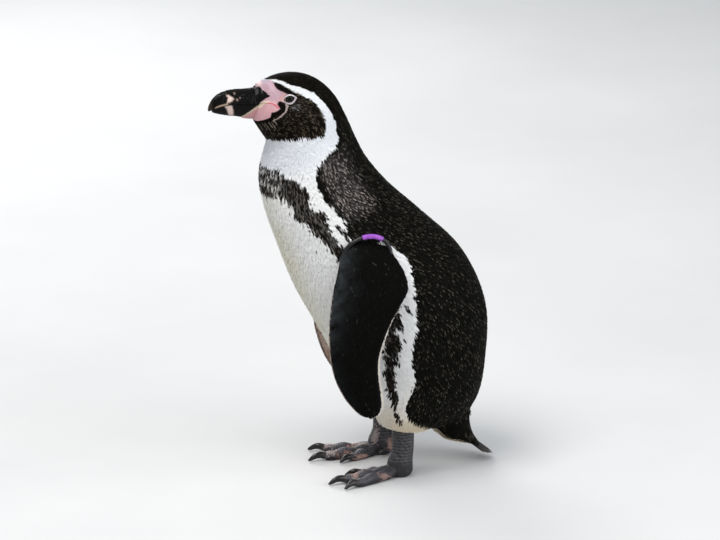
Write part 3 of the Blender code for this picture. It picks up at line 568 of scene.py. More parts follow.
def horn_material(name, rough=(0.22, 0.42), scratch=160.0, specular=0.5):
    m, nodes, links, shader = new_material(name)
    tint = tint_node(nodes)
    grain = noise_node(nodes, links, 700.0, 4.0, 0.65)
    tone = ramp(nodes, links, grain, [(0.25, 0.72), (0.75, 1.12)])
    colour = mix_colour(nodes, links, "MULTIPLY", 1.0, tint.outputs["Color"], tone)
    links.new(colour, shader.inputs["Base Color"])
    streak = noise_node(nodes, links, scratch, 5.0, 0.7, stretch=(3.0, 1.0, 6.0))
    links.new(ramp(nodes, links, streak, [(0.3, rough[0]), (0.7, rough[1])]), shader.inputs["Roughness"])
    under = nodes.new("ShaderNodeBump")
    under.inputs["Strength"].default_value = 0.4
    under.inputs["Distance"].default_value = 0.00025
    links.new(streak, under.inputs["Height"])
    add_bump(nodes, links, shader, grain, 0.3, 0.00015, under.outputs[0])
    set_inputs(shader, Specular_IOR_Level=specular)
    return m


def plastic_material(name, colour, dark, rough):
    m, nodes, links, shader = new_material(name)
    worn = noise_node(nodes, links, 260.0, 5.0, 0.6)
    links.new(ramp(nodes, links, worn, [(0.3, dark), (0.62, colour)]), shader.inputs["Base Color"])
    links.new(ramp(nodes, links, worn, [(0.3, rough + 0.12), (0.7, rough)]), shader.inputs["Roughness"])
    add_bump(nodes, links, shader, noise_node(nodes, links, 900.0, 3.0), 0.2, 0.0001)
    set_inputs(shader, Specular_IOR_Level=0.36)
    return m


def eye_material():
    m, nodes, links, shader = new_material("eye_gloss")
    tint = tint_node(nodes)
    rays = noise_node(nodes, links, 1400.0, 3.0)
    tone = ramp(nodes, links, rays, [(0.3, 0.7), (0.7, 1.2)])
    links.new(mix_colour(nodes, links, "MULTIPLY", 1.0, tint.outputs["Color"], tone), shader.inputs["Base Color"])
    set_inputs(shader, Roughness=0.05, Specular_IOR_Level=0.065)
    return m


# ================================================================= colours
WHITE_C = np.array([0.86, 0.86, 0.85])
THROAT_SHADE_C = np.array([0.745, 0.765, 0.800])
CREAM_C = np.array([0.76, 0.72, 0.55])
LOW_SHADE_C = np.array([0.60, 0.50, 0.35])
BLACK_C = np.array([0.0042, 0.0040, 0.0030])
SHOULDER_C = np.array([0.032, 0.0295, 0.0285])
CROWN_C = np.array([0.0030, 0.0025, 0.0016])
CHEEK_C = np.array([0.0040, 0.0030, 0.0018])
BAND_C = np.array([0.0110, 0.0080, 0.0055])
PINK_C = np.array([0.50, 0.290, 0.320])
COMMA = np.array([(81.5, 6.30), (84.0, 6.17), (83.2, 6.0), (82.2, 5.82)])
CHEEK_STREAK = np.array([(103.5, 13.30), (100.9, 13.22), (96.1, 13.11), (88.5, 13.11), (79.9, 13.28), (70.7, 13.47), (62.1, 13.70)])
GAPE = np.array([(90.5, 16.0), (93.5, 15.62), (95.9, 15.08), (97.0, 14.86), (96.9, 14.64), (95.5, 14.30), (94.1, 14.07), (92.3, 13.88)])
# the cream rim of the lips, from the bill back over the gape
LIP = np.array([(73, 16.2), (75.3, 15.97), (82.9, 15.70), (89.5, 15.52), (94.6, 15.38), (98.6, 15.05), (100.2, 14.92), (101.6, 15.02), (101.3, 15.28),
                (98.6, 15.58), (94.2, 15.82), (92, 16.2)])


def lerp(a, b, k):
    k = np.asarray(k, float)
    return a * (1 - k)[:, None] + b * k[:, None]


def white_colour(t, d, p):
    """The white of the front: greyer and bluer at the throat and beige and darker low down, both painted shade, with
    cream down the middle of the belly.
    """
    c = np.tile(WHITE_C, (len(t), 1))
    # painted shade: the throat a greyer, bluer white than the rest of the front
    c = lerp(c, THROAT_SHADE_C, smooth(7.5, 9.0, t) * (1 - 0.7 * smooth(9.4, 11.0, t) * smooth(90, 100, d)))
    cream = smooth(48, 8, d) * smooth(2.5, 4.5, t) * (1 - smooth(7.0, 8.4, t)) * (0.62 + 0.25 * noise3(p, 60, 3))
    c = lerp(c, CREAM_C, np.clip(cream, 0, 1) * 0.8)
    # painted shade: the white turns beige and darker towards the bottom of the belly
    c = lerp(c, LOW_SHADE_C, 0.85 * (1 - smooth(1.2, 3.0, t + 0.25 * noise3(p, 40, 5))))
    return c


def back_colour(t, d, p):
    c = np.tile(BLACK_C, (len(t), 1))
    shoulder = smooth(88, 94, d) * (1 - smooth(112, 140, d)) * smooth(5.9, 6.5, t) * (1 - smooth(7.9, 8.6, t))
    return lerp(c, SHOULDER_C, np.clip(shoulder * (0.85 + 0.4 * noise3(p, 26, 9)), 0, 1)), shoulder


def face_colour(t, deg, p):
    """Bare skin round the bill and eye: pink, tan before the eye, crimson along the gape."""
    d = fold(deg)
    c = np.tile(PINK_C, (len(t), 1))
    c = lerp(c, np.array([0.54, 0.355, 0.395]), np.clip(0.40 + 0.6 * noise3(p, 7, 21), 0, 1) * 0.8)
    c = lerp(c, np.array([0.46, 0.18, 0.19]), np.clip(0.45 * noise3(p, 2.6, 22), 0, 1))
    c = lerp(c, np.array([0.52, 0.28, 0.285]), smooth(96, 84, d) * 0.5)
    # painted shade: the upper part of the face darker, to offset the light from above
    c = c * (1 - smooth(98, 112, d)[:, None] * np.array([0.20, 0.12, 0.07]))
    near_eye = np.exp(-((d - 112) / 9) ** 2 - ((t - 13.72) / 0.32) ** 2)
    c = lerp(c, np.array([0.48, 0.26, 0.18]), 0.65 * near_eye)
    gape, _ = line_distance(d * 0.55, t * 12.5, GAPE * (0.55, 12.5))
    lip = polygon_distance(d * 0.55, t * 12.5, LIP * (0.55, 12.5))
    c = lerp(c, np.array([0.60, 0.51, 0.36]), smooth(-0.45, 0.35, lip) * 0.9)
    back_part = 1 - smooth(15.05, 15.3, t)
    c = lerp(c, np.array([0.60, 0.075, 0.11]), np.exp(-(gape / 0.85) ** 2) * 0.95 * back_part)
    c = lerp(c, np.array([0.10, 0.05, 0.04]), np.exp(-(gape / 0.40) ** 2) * 0.85 * (1 - back_part))
    top = smooth(150, 168, d) * smooth(15.0, 15.25, t)
    c = lerp(c, np.array([0.28, 0.295, 0.36]), 0.75 * top * (1 - smooth(15.55, 15.8, t)) * np.clip(0.9 + 0.4 * noise3(p, 4, 27), 0, 1))
    c = lerp(c, np.array([0.64, 0.50, 0.50]), smooth(150, 168, d) * smooth(15.6, 15.85, t) * 0.8)
    return c


def ground_colour(t, deg, p):
    """What the skin under the feathers shows, and the bare face."""
    d = fold(deg)
    kind, sd = marking(t, d)
    c = white_colour(t, d, p) * 0.97
    back, _ = back_colour(t, d, p)
    for which, colour in ((BACK, back), (CROWN, np.tile(CROWN_C, (len(t), 1))), (CHEEK, np.tile(CHEEK_C, (len(t), 1)))):
        k = kind == which
        c[k] = colour[k]
    k = (kind == WHITE) & (sd > 1.5)
    c[k] = c[k] * 0.25 + BAND_C * 0.75
    k = smooth(-0.06, 0.03, bare(t, deg))
    return lerp(c, face_colour(t, deg, p), k)


# ================================================================= the skin
def coat_depth(t, deg):
    """How far the skin lies inside the outer form."""
    deep = 2.9 - 0.8 * smooth(7.0, 9.0, t) - 1.1 * smooth(9.2, 11.0, t)
    return deep * (1 - smooth(-0.30, 0.03, bare(t, deg))) + 0.12


def face_relief(t, deg, p):
    """Fine forms of the bare skin: the raised edge of the lips, creases that run back from the gape, small grains."""
    d = fold(deg)
    on = smooth(-0.05, 0.15, bare(t, deg))
    gape, along = line_distance(d * 0.55, t * 12.5, GAPE * (0.55, 12.5))
    lips = 0.55 * np.exp(-((gape - 1.15) / 0.7) ** 2) - 0.75 * np.exp(-(gape / 0.42) ** 2)
    creases = 0.20 * np.sin(gape * 2.6 + 1.4 * noise3(p, 9, 31)) * np.exp(-((gape - 4) / 3.5) ** 2)
    grains = 0.07 * noise3(p, 2.4, 32) + 0.04 * noise3(p, 1.6, 33)
    rim = 0.22 * np.exp(-((bare(t, deg) - 0.02) / 0.05) ** 2)
    return on * (lips * (1 - smooth(0.93, 1.0, along)) + creases + grains) + rim


def skin_body():
    cols, fine = 128, 256
    t_low = np.linspace(0.0, 10.3, 128)
    t_high = np.linspace(10.3, LAST, 153)[1:]
    pts, tints = [], []
    for ts, n in ((t_low, cols), (t_high, fine)):
        deg = np.arange(n) * 360.0 / n
        T, D = [g.ravel() for g in np.meshgrid(ts, deg, indexing="ij")]
        p, _, _, nrm = body_basis(T, D)
        p = formed(T, D)
        q = p + nrm * (face_relief(T, D, p) - coat_depth(T, D))[:, None]
        pts.append(q)
        tints.append(ground_colour(T, D, p))
    # a rounded rim that turns in behind the base of the bill
    last = pts[-1][-fine:]
    centre = last.mean(axis=0)
    forward = np.array([0.0, -1.0, 0.0])
    rims = []
    for k in (1, 2, 3):
        a = k / 3 * math.pi / 2
        rims.append(centre + (last - centre) * (1 - 0.10 * (1 - math.cos(a))) + forward * 0.9 * math.sin(a))
    pts.append(np.vstack(rims))
    tints.append(np.vstack([tints[-1][-fine:]] * 3))
    points = np.vstack(pts + [pts[0][:cols].mean(axis=0)[None], rims[-1].mean(axis=0)[None]])
    colours = np.vstack(tints + [tints[0][:1], tints[-1][:1]])
    n_low, n_high = len(t_low), len(t_high) + 3
    base = n_low * cols
    low = grid_faces(n_low, cols)
    high = grid_faces(n_high, fine) + base
    j = np.arange(cols)
    k = (j + 1) % cols
    edge = (n_low - 1) * cols
    f = base + 2 * j
    five = np.stack([edge + j, edge + k, base + (2 * j + 2) % fine, f + 1, f], axis=1)
    end0, end1 = len(points) - 2, len(points) - 1
    cap0 = np.stack([k, j, np.full(cols, end0)], axis=1)
    tip = base + (n_high - 1) * fine
    jj = np.arange(fine)
    cap1 = np.stack([tip + jj, tip + (jj + 1) % fine, np.full(fine, end1)], axis=1)
    ob = make("skin", points, [low, high, five, cap0, cap1], colours)
    return outward(ob)


def outward(ob):
    bm = bmesh.new()
    bm.from_mesh(ob.data)
    if bm.calc_volume(signed=True) < 0:
        bmesh.ops.reverse_faces(bm, faces=bm.faces)
        bm.to_mesh(ob.data)
    bm.free()
    return ob


# ----------------------------------------------------------------- flippers
FLIPPER_ROWS = np.array([
    (276.0, -24.0, -6.0, 64.0, 7.0), (271.5, -31.0, 2.0, 70.0, 13.0), (262.0, -38.5, 11.0, 77.0, 18.5), (243.0, -45.0, 22.0, 86.5, 16.5),
    (225.0, -50.0, 25.5, 91.5, 13.5), (209.0, -53.5, 18.0, 94.0, 11.5), (190.0, -56.3, 6.5, 95.5, 10.0), (170.0, -57.0, -2.0, 96.0, 8.6),
    (150.0, -55.6, -7.2, 95.5, 7.4), (129.0, -50.5, -6.7, 94.5, 6.2), (110.0, -41.5, -3.8, 93.0, 5.0), (98.0, -33.0, -3.0, 92.0, 4.0),
    (90.0, -25.5, -5.0, 91.0, 3.2), (85.5, -18.5, -9.5, 90.5, 2.4)])
FLIPPER_TURN, RIGHT_SWING, RIGHT_DROP, RIGHT_CLOSE, RIGHT_LOWER, RIGHT_BACK = 10.0, 8.0, 14.0, 4.0, 11.5, 14.5
SHOULDER = (-12.0, 262.0)
FLIPPER_LAST = len(FLIPPER_ROWS) - 1


def flipper_point(side):
    """Surface of a flipper: row number from the shoulder to the tip, and angle round the section (0 leading edge, 90 outer face)."""
    def point(t, deg):
        t, deg = np.broadcast_arrays(np.asarray(t, float), np.asarray(deg, float))
        t, deg = np.clip(t.ravel(), 0, FLIPPER_LAST), deg.ravel()
        z, lead, trail, x, thick = hermite(np.arange(len(FLIPPER_ROWS)), FLIPPER_ROWS, t).T
        a = np.radians(deg)
        c, s = -np.cos(a), np.sin(a)
        taper = 1 - 0.30 * c - 0.22 * c * c
        mid = (lead + trail) / 2
        y = mid + (trail - lead) / 2 * c
        xx = x + 0.5 * thick * s * taper + math.tan(math.radians(FLIPPER_TURN)) * (y - mid) * smooth(0.5, 3, t) - 0.0016 * (y - mid) ** 2
        p = np.column_stack([xx, y, z])
        if side == "r":
            a = math.radians(RIGHT_SWING)
            y, z = p[:, 1] - SHOULDER[0], p[:, 2] - SHOULDER[1]
            fade = smooth(0, 60, -z)
            ya = y * np.cos(a * fade) - z * np.sin(a * fade)
            low = smooth(-14, 60, -z)
            za = y * np.sin(a * fade) + z * np.cos(a * fade) - RIGHT_DROP * smooth(40, 170, -z) - RIGHT_LOWER * low
            p[:, 1], p[:, 2] = ya + SHOULDER[0] + RIGHT_BACK * low, za + SHOULDER[1]
            p[:, 0] = -(p[:, 0] - RIGHT_CLOSE * smooth(0, 80, 262 - p[:, 2]))
        return p
    return point


def flipper_basis(side):
    point = flipper_point(side)
    # which way round the angle runs decides the sign of the outward side
    probe = basis(point, np.array([5.0]), np.array([90.0]), 0.01, 0.8)[3][0]
    flip = 1.0 if probe[0] * (1 if side == "l" else -1) > 0 else -1.0

    def at(t, deg):
        return basis(point, np.clip(t, 0.02, FLIPPER_LAST - 0.02), deg, 0.01, 0.8, flip)
    return at


def flipper_colour(t, deg, p, side):
    """Black outside with a painted blue-grey sheen at the leading edge; inside pale and pinkish with dark spots and
    margins.
    """
    d = np.mod(deg, 360.0)
    c = np.tile(np.array([0.0028, 0.0028, 0.0022]), (len(t), 1))
    # painted sheen: blue-grey towards the upper part of the leading edge
    lead = np.exp(-(np.minimum(d, 360 - d) / 40.0) ** 2) * smooth(0.6, 2.0, t) * (1 - 0.75 * smooth(5, 8, t))
    c = lerp(c, np.array([0.050, 0.056, 0.062]), 0.8 * lead * np.clip(0.75 + 0.5 * noise3(p, 14, 44), 0, 1))
    inner = smooth(196, 206, d) * (1 - smooth(336, 346, d))
    pale = np.array([0.46, 0.31, 0.24])
    under = np.tile(pale, (len(t), 1))
    under = lerp(under, np.array([0.62, 0.52, 0.46]), np.clip(0.5 + 0.6 * noise3(p, 30, 41), 0, 1))
    spots = noise3(p, 9, 42)
    k = smooth(0.72, 0.86, spots) * smooth(1.5, 4, t)
    under = lerp(under, np.array([0.03, 0.026, 0.026]), k)
    trail_dark = (1 - smooth(206, 222, d)) * smooth(5, 9, t)
    under = lerp(under, np.array([0.05, 0.045, 0.045]), 0.8 * trail_dark)
    tip = smooth(11.6, 12.6, t)
    under = lerp(under, np.array([0.06, 0.05, 0.05]), 0.6 * tip)
    c = lerp(c, under, inner)
    # the thin pale line down the leading edge
    edge = np.exp(-(((d - 352 + 180) % 360 - 180) / 5.0) ** 2) * smooth(4.0, 6.0, t)
    return lerp(c, np.array([0.56, 0.44, 0.40]), 0.85 * edge)


def skin_flipper(side):
    rows, cols = 100, 40
    T, D = [g.ravel() for g in np.meshgrid(np.linspace(0, FLIPPER_LAST, rows), np.arange(cols) * 360.0 / cols, indexing="ij")]
    point, at = flipper_point(side), flipper_basis(side)
    _, _, _, n = at(T, D)
    p = point(T, D)
    thick = hermite(np.arange(len(FLIPPER_ROWS)), FLIPPER_ROWS, T)[:, 4]
    q = p - n * np.minimum(0.5, 0.12 * thick)[:, None]
    return lofted(f"skin_flipper_{side}", q.reshape(rows, cols, 3), flipper_colour(T, D, p, side))


# ----------------------------------------------------------------- legs
LEG = {"l": (38.0, 33.0), "r": (-40.0, 33.0)}
LEG_TOP, LEG_BOTTOM = 122.0, 50.5


def leg_point(side):
    """Surface of the feathered thigh: 0 at the top to 1 where it closes round the shank, and an angle (0 in front, 90 at +X)."""
    x, y = LEG[side]

    def point(u, deg):
        u, deg = np.broadcast_arrays(np.asarray(u, float), np.asarray(deg, float))
        u, a = np.clip(u.ravel(), 0, 1), np.radians(deg.ravel())
        z = LEG_TOP + (LEG_BOTTOM - LEG_TOP) * u
        r = np.sqrt(np.maximum(0.0, 1 - u ** 3.2))
        rx, ry = 13.5 + 13.5 * r, 15.0 + 27.0 * r
        cx = x + math.copysign(4.0, x) * (1 - u)
        cy = y + 1 + 27 * (1 - u) ** 0.9
        tilt = 0.42 * ry * np.cos(a) * (1 - 0.55 * u)
        return np.column_stack([cx + rx * np.sin(a), cy - ry * np.cos(a), z + tilt])
    return point


SIDE_A, SIDE_E = math.radians(75.0), math.radians(16.5)
SIDE_R = np.array([math.cos(SIDE_A), math.sin(SIDE_A), 0.0])
SIDE_U = np.array([-math.sin(SIDE_E) * math.sin(SIDE_A), math.sin(SIDE_E) * math.cos(SIDE_A), math.cos(SIDE_E)])
SIDE_B = np.array([math.sin(SIDE_A) * math.cos(SIDE_E), -math.cos(SIDE_A) * math.cos(SIDE_E), math.sin(SIDE_E)])


def flank_places():
    """The near flank seen square on, so that the markings run on over the thigh without a step."""
    T, D = [g.ravel() for g in np.meshgrid(np.linspace(0.05, 5.0, 200), np.linspace(2, 176, 300), indexing="ij")]
    p, _, _, n = body_basis(T, D)
    k = n @ SIDE_B > 0.05
    p, T, D = p[k], T[k], D[k]
    tree = KDTree(len(p))
    for i, q in enumerate(p):
        tree.insert((q @ SIDE_R, q @ SIDE_U, 0.0), i)
    tree.balance()
    return tree, T, D


def leg_place(p, side):
    """Station and angle of the body marking that a point of the thigh carries."""
    tree, T, D = FLANK
    q = p * np.array([1.0 if side == "l" else -1.0, 1.0, 1.0])
    i = np.array([tree.find((r @ SIDE_R, r @ SIDE_U, 0.0))[1] for r in q])
    inner = smooth(6, 14, (LEG["l"][0] + 4 - q[:, 0]))
    # the inner side is white like the belly
    return T[i], D[i] * (1 - inner) + 25 * inner, inner


# the lower end of the flank stripe, square on to the side, in millimetres
STRIPE = np.array([(27.7, 99.0), (28.8, 90.5), (31, 78.8), (33, 70.3), (34, 65), (37.9, 57.5), (40.9, 51.1), (43.7, 44.2), (46, 46), (43.3, 51.6),
                   (40.1, 57.7), (39, 63.9), (42.7, 67.6), (37.3, 74.5), (38.4, 79), (37.9, 85.2), (36.8, 95.8), (38.9, 103.3)])


def leg_colour(p, side):
    t, d, inner = leg_place(p, side)
    c = ground_colour(t, d, p)
    # painted shade: the white of the thigh turns beige and darker towards the hem
    return lerp(c, LOW_SHADE_C, np.clip(0.9 * (1 - smooth(43, 62, p[:, 2] + 5 * noise3(p, 14, 51))), 0, 1) * (c.mean(axis=1) > 0.2))


def skin_leg(side):
    rows, cols = 40, 48
    U, D = [g.ravel() for g in np.meshgrid(1 - (1 - np.linspace(0.0, 1.0, rows)) ** 1.6, np.arange(cols) * 360.0 / cols, indexing="ij")]
    p = leg_point(side)(U, D).reshape(rows, cols, 3)
    centre = p.mean(axis=1, keepdims=True)
    away = p - centre
    length = np.linalg.norm(away, axis=2, keepdims=True)
    q = centre + away * (length - 2.0) / length
    q = q.reshape(-1, 3)
    q[:, 2] = np.maximum(q[:, 2] + 1.2 * U, LEG_BOTTOM - 2.4)
    return lofted(f"skin_leg_{side}", q.reshape(rows, cols, 3), leg_colour(q, side) * 0.9)


# ----------------------------------------------------------------- feet
TOE_LENGTH = {"middle": 64.5, "outer": 61.0, "inner": 42.5}
CLAW_LENGTH = {"middle": 18.5, "outer": 16.5, "inner": 15.0}
TOE_RADIUS = {"middle": 7.3, "outer": 6.9, "inner": 6.5}
TOE_FLAT = 0.88
FOOT_TURN = {"l": 11.0, "r": 8.0}
TOE_SPREAD = {"l": {"outer": 16.0, "inner": -20.0}, "r": {"outer": -27.0, "inner": 19.0}}
SHANK_TOP = 49.2


def toe_frame(side, toe):
    x, y = LEG[side]
    a = math.radians(FOOT_TURN[side] + (0 if toe == "middle" else TOE_SPREAD[side][toe]))
    return np.array([x, y]), np.array([math.sin(a), -math.cos(a)])


def toe_path(side, toe, steps=26):
    start, forward = toe_frame(side, toe)
    radius, length = TOE_RADIUS[toe], TOE_LENGTH[toe]
    path, radii = [], []
    for u in np.linspace(0, 1, steps):
        r = radius * (1.06 - 0.24 * u) + 0.55 * math.cos(2 * math.pi * u * 3.0)
        lift = 7.0 * (1 - float(smooth(0, 0.34, u)))
        p = start + forward * (-2.0 + (length + 2.0) * u)
        path.append((p[0], p[1], r * TOE_FLAT - 0.8 + lift))
        radii.append(r * (1 - 0.34 * float(smooth(0.90, 1.0, u))))
    return np.array(path), np.array(radii)


def tube_rings(path, radii, points=20, flat=1.0, reference=(0.0, 0.0, 1.0), closed=False):
    path = np.asarray(path, float)
    if closed:
        a = np.roll(path, -1, axis=0) - np.roll(path, 1, axis=0)
    else:
        a = np.gradient(path, axis=0)
    a /= np.linalg.norm(a, axis=1)[:, None]
    side = np.cross(a, reference)
    side /= np.linalg.norm(side, axis=1)[:, None]
    up = np.cross(side, a)
    ang = np.arange(points) * 2 * math.pi / points
    c, s = np.cos(ang), np.sin(ang)
    r = np.asarray(radii, float)[:, None, None]
    return path[:, None] + r * (c[None, :, None] * side[:, None] + flat * s[None, :, None] * up[:, None])


def foot_body(side):
    """Shank, toes and webs made one by a remesh, then scaled over."""
    x, y = LEG[side]
    made = []
    path = [(SHANK_TOP, 4, 10.2), (32, 4, 9.9), (25, 3, 10.3), (18, 1, 11.4), (11, 0.5, 12.0), (6, 1.0, 11.6), (2.5, 1.0, 10.2), (0.3, 1.0, 8.2), (-0.8, 1.0, 6.4)]
    ang = np.arange(36) * 2 * math.pi / 36
    rows = np.array(path, float)
    zs = np.linspace(0, len(rows) - 1, 26)
    rows = hermite(np.arange(len(rows)), rows, zs)
    rows = np.vstack([[SHANK_TOP + 9, 5, 9.0], rows])
    rings = [np.column_stack([x + r * np.sin(ang), y + oy - 1.16 * r * np.cos(ang), np.full(36, z)]) for z, oy, r in rows]
    made.append(lofted("tmp", rings))
    for toe in TOE_LENGTH:
        p, r = toe_path(side, toe)
        made.append(lofted("tmp", tube_rings(p, r, 22, TOE_FLAT)))
    for a, b in (("inner", "middle"), ("middle", "outer")):
        start, fa = toe_frame(side, a)
        _, fb = toe_frame(side, b)
        steps, cross = 18, []
        for k in range(steps + 1):
            w = k / steps
            reach = 0.95 * (TOE_LENGTH[a] * (1 - w) + TOE_LENGTH[b] * w) - 8.0 * math.sin(math.pi * w)
            f = fa * (1 - w) + fb * w
            f /= np.linalg.norm(f)
            p0, p1 = start + f * 2.0, start + f * reach
            mid = start + f * reach * 0.55
            sag = 0.9 * math.sin(math.pi * w) * math.sin(3 * math.pi * w) ** 2
            cross.append([(*p0, 1.2), (*mid, 1.2), (*p1, 1.2), (*p1, 3.3), (*mid, 5.2 - sag), (*p0, 9.0)])
        made.append(lofted("tmp", cross))
    inward = -1 if side == "l" else 1
    hind = np.array([(x + inward * 6.5, y + 6.5, 12), (x + inward * 10, y + 4, 10.5), (x + inward * 13.0, y + 0.5, 9.0)])
    made.append(lofted("tmp", tube_rings(hind, [3.4, 3.1, 2.3], 14)))
    bm = bmesh.new()
    for ob in made:
        bm.from_mesh(ob.data)
    for ob in made:
        remove(ob)
    me = bpy.data.meshes.new("foot")
    bm.to_mesh(me)
    bm.free()
    ob = bpy.data.objects.new(f"skin_foot_{side}", me)
    bpy.context.scene.collection.objects.link(ob)
    mod = ob.modifiers.new("voxels", "REMESH")
    mod.mode = "VOXEL"
    mod.voxel_size = 0.95 * MM
    mod.adaptivity = 0.0
    even = ob.modifiers.new("even", "SMOOTH")
    even.factor, even.iterations = 0.5, 3
    apply_modifiers(ob)
    p = points_of(ob)
    p, colours = foot_scales(side, p, normals_of(ob))
    set_points(ob, p)
    set_tint(ob, colours)
    for poly in ob.data.polygons:
        poly.use_smooth = True
    return ob


def normals_of(ob):
    n = np.empty(len(ob.data.vertices) * 3, np.float32)
    ob.data.vertex_normals.foreach_get("vector", n)
    return n.reshape(-1, 3).astype(float)


def foot_scales(side, p, n):
    """Cross scutes on the toes and shank, small grains between, and the pink and pale patches."""
    x, y = LEG[side]
    top = np.clip(n[:, 2], 0, 1)
    move = 0.12 * noise3(p, 2.2, 61) + 0.08 * noise3(p, 1.5, 62)
    c = np.tile(np.array([0.025, 0.0235, 0.0275]), (len(p), 1))
    c = lerp(c, np.array([0.056, 0.053, 0.062]), np.clip(0.5 * noise3(p, 6, 63), 0, 1))
    best = np.full(len(p), 1e9)
    scute = np.zeros(len(p))
    along_best = np.zeros(len(p))
    which = np.zeros(len(p), int)
    for i, toe in enumerate(TOE_LENGTH):
        start, f = toe_frame(side, toe)
        q = p[:, :2] - start
        s = q @ f
        across = np.abs(q @ np.array([-f[1], f[0]]))
        over = across / (TOE_RADIUS[toe] * 0.9)
        near = over + np.where((s < 8) | (s > TOE_LENGTH[toe] + 3), 3, 0)
        k = near < best
        best[k] = near[k]
        phase = (s + 0.9 * over ** 2) / 2.6
        ridge = np.abs(np.sin(math.pi * phase)) ** 0.6
        scute[k] = ridge[k]
        along_best[k] = (s / TOE_LENGTH[toe])[k]
        which[k] = i
    for centre, size, colour, strength in FOOT_PATCHES[side]:
        q = p - np.array(centre)
        e = np.sqrt((q[:, 0] / size[0]) ** 2 + (q[:, 1] / size[1]) ** 2 + (q[:, 2] / size[2]) ** 2) / 1.22 + 0.35 * noise3(p, 3.5, 71) + 0.25 * noise3(p, 1.7, 72)
        c = lerp(c, np.array(colour), (1 - smooth(0.75, 1.05, e)) * strength)
    on = (1 - smooth(0.75, 1.05, best)) * smooth(0.05, 0.4, top)
    fore = smooth(0.35, 0.75, along_best)
    move += on * (0.55 * scute - 0.34) * (0.45 + 0.55 * fore)
    dark = 1 - smooth(0.10, 0.2, c.mean(axis=1))
    # the upward crests of the scutes lighter: their own grey, with a painted bluish highlight on top
    c = lerp(c, np.array([0.170, 0.166, 0.192]), on * dark * smooth(0.70, 1.0, scute) * (0.35 + 0.5 * fore))
    c = lerp(c, np.array([0.008, 0.007, 0.008]), on * (1 - smooth(0.15, 0.55, scute)) * (0.45 + 0.45 * dark) * (0.5 + 0.5 * fore))
    # the shank: a net of scales, drawn by the skin's own material
    shank = smooth(13, 20, p[:, 2])
    rows = np.abs(np.sin(p[:, 2] * math.pi / 3.4 + 0.8 * noise3(p, 5, 74)))
    move += shank * (0.30 * rows ** 0.5 - 0.18)
    c = lerp(c, np.array([0.16, 0.15, 0.155]), shank * smooth(0.5, 1.0, rows) * 0.5)
    c = lerp(c, np.array([0.012, 0.011, 0.012]), shank * (1 - smooth(0.1, 0.4, rows)) * 0.6)
    web = smooth(1.0, 1.5, best) * (1 - shank)
    move += web * 0.10 * np.sin(p[:, 0] * 2.2 + 1.2 * noise3(p, 6, 73)) * np.sin(p[:, 1] * 2.2)
    sole = smooth(0.35, 0.9, -n[:, 2])
    c = lerp(c, np.array([0.030, 0.026, 0.026]), sole * 0.8)
    q = p + n * (move * (1 - 0.8 * sole))[:, None]
    q[:, 2] = np.maximum(q[:, 2], 0.0)
    return q, np.column_stack([c, np.ones(len(c))])


PINK_PATCH, PALE_PATCH, DARK_PATCH = (0.53, 0.32, 0.27), (0.62, 0.50, 0.47), (0.02, 0.018, 0.019)
# centre, half sizes, colour and strength of each pale or pink patch of foot skin
FOOT_PATCHES = {
    "l": [((36.5, -25, 8), (5.5, 4.5, 5), PALE_PATCH, 0.55), ((57, -20.5, 8), (5.5, 4.0, 5), PALE_PATCH, 0.45),
          ((47.6, -19, 9), (4.5, 5.5, 4), PINK_PATCH, 0.6), ((30.5, -6, 7), (4, 5, 5), PALE_PATCH, 0.4),
          ((41, 4, 6), (3.2, 13, 4), PINK_PATCH, 0.7), ((54, 6, 5), (3.0, 12, 4), PINK_PATCH, 0.55),
          ((31, 26, 16), (4, 7, 12), PINK_PATCH, 0.55), ((27, 42, 11), (5, 6, 6), PINK_PATCH, 0.6)],
    "r": [((-60.5, -20, 7), (7, 6.5, 4.5), PALE_PATCH, 0.85), ((-59, -3, 5), (4, 13, 3.5), PINK_PATCH, 0.8),
          ((-32, -25, 8), (5.5, 6, 4.5), PALE_PATCH, 0.75), ((-31, -9, 4.5), (5, 10, 4), PINK_PATCH, 0.8),
          ((-44, 8, 6), (7, 9, 5), PINK_PATCH, 0.8), ((-50, 25, 8), (6, 7, 6), PINK_PATCH, 0.75),
          ((-41, 13, 9), (4.5, 6, 4.5), PALE_PATCH, 0.6), ((-21, 8, 3.2), (3.5, 17, 3), PINK_PATCH, 0.75),
          ((-32.5, 22, 26), (4.5, 5.5, 10), PALE_PATCH, 0.75), ((-31, 45, 12), (5.5, 6.5, 6.5), PINK_PATCH, 0.8)]}


def union(ob, others):
    """One surface from overlapping closed ones; each other object goes."""
    for other in others:
        before = len(ob.data.vertices)
        done = False
        for solver in ("MANIFOLD", "EXACT"):
            mod = ob.modifiers.new("join", "BOOLEAN")
            mod.operation, mod.object = "UNION", other
            try:
                mod.solver = solver
            except TypeError:
                ob.modifiers.clear()
                continue
            graph = bpy.context.evaluated_depsgraph_get()
            me = bpy.data.meshes.new_from_object(ob.evaluated_get(graph))
            ob.modifiers.clear()
            if len(me.vertices) > before:
                old = ob.data
                ob.data = me
                bpy.data.meshes.remove(old)
                done = True
                break
            bpy.data.meshes.remove(me)
        if not done:
            print("could not join", other.name)
        remove(other)
    return ob


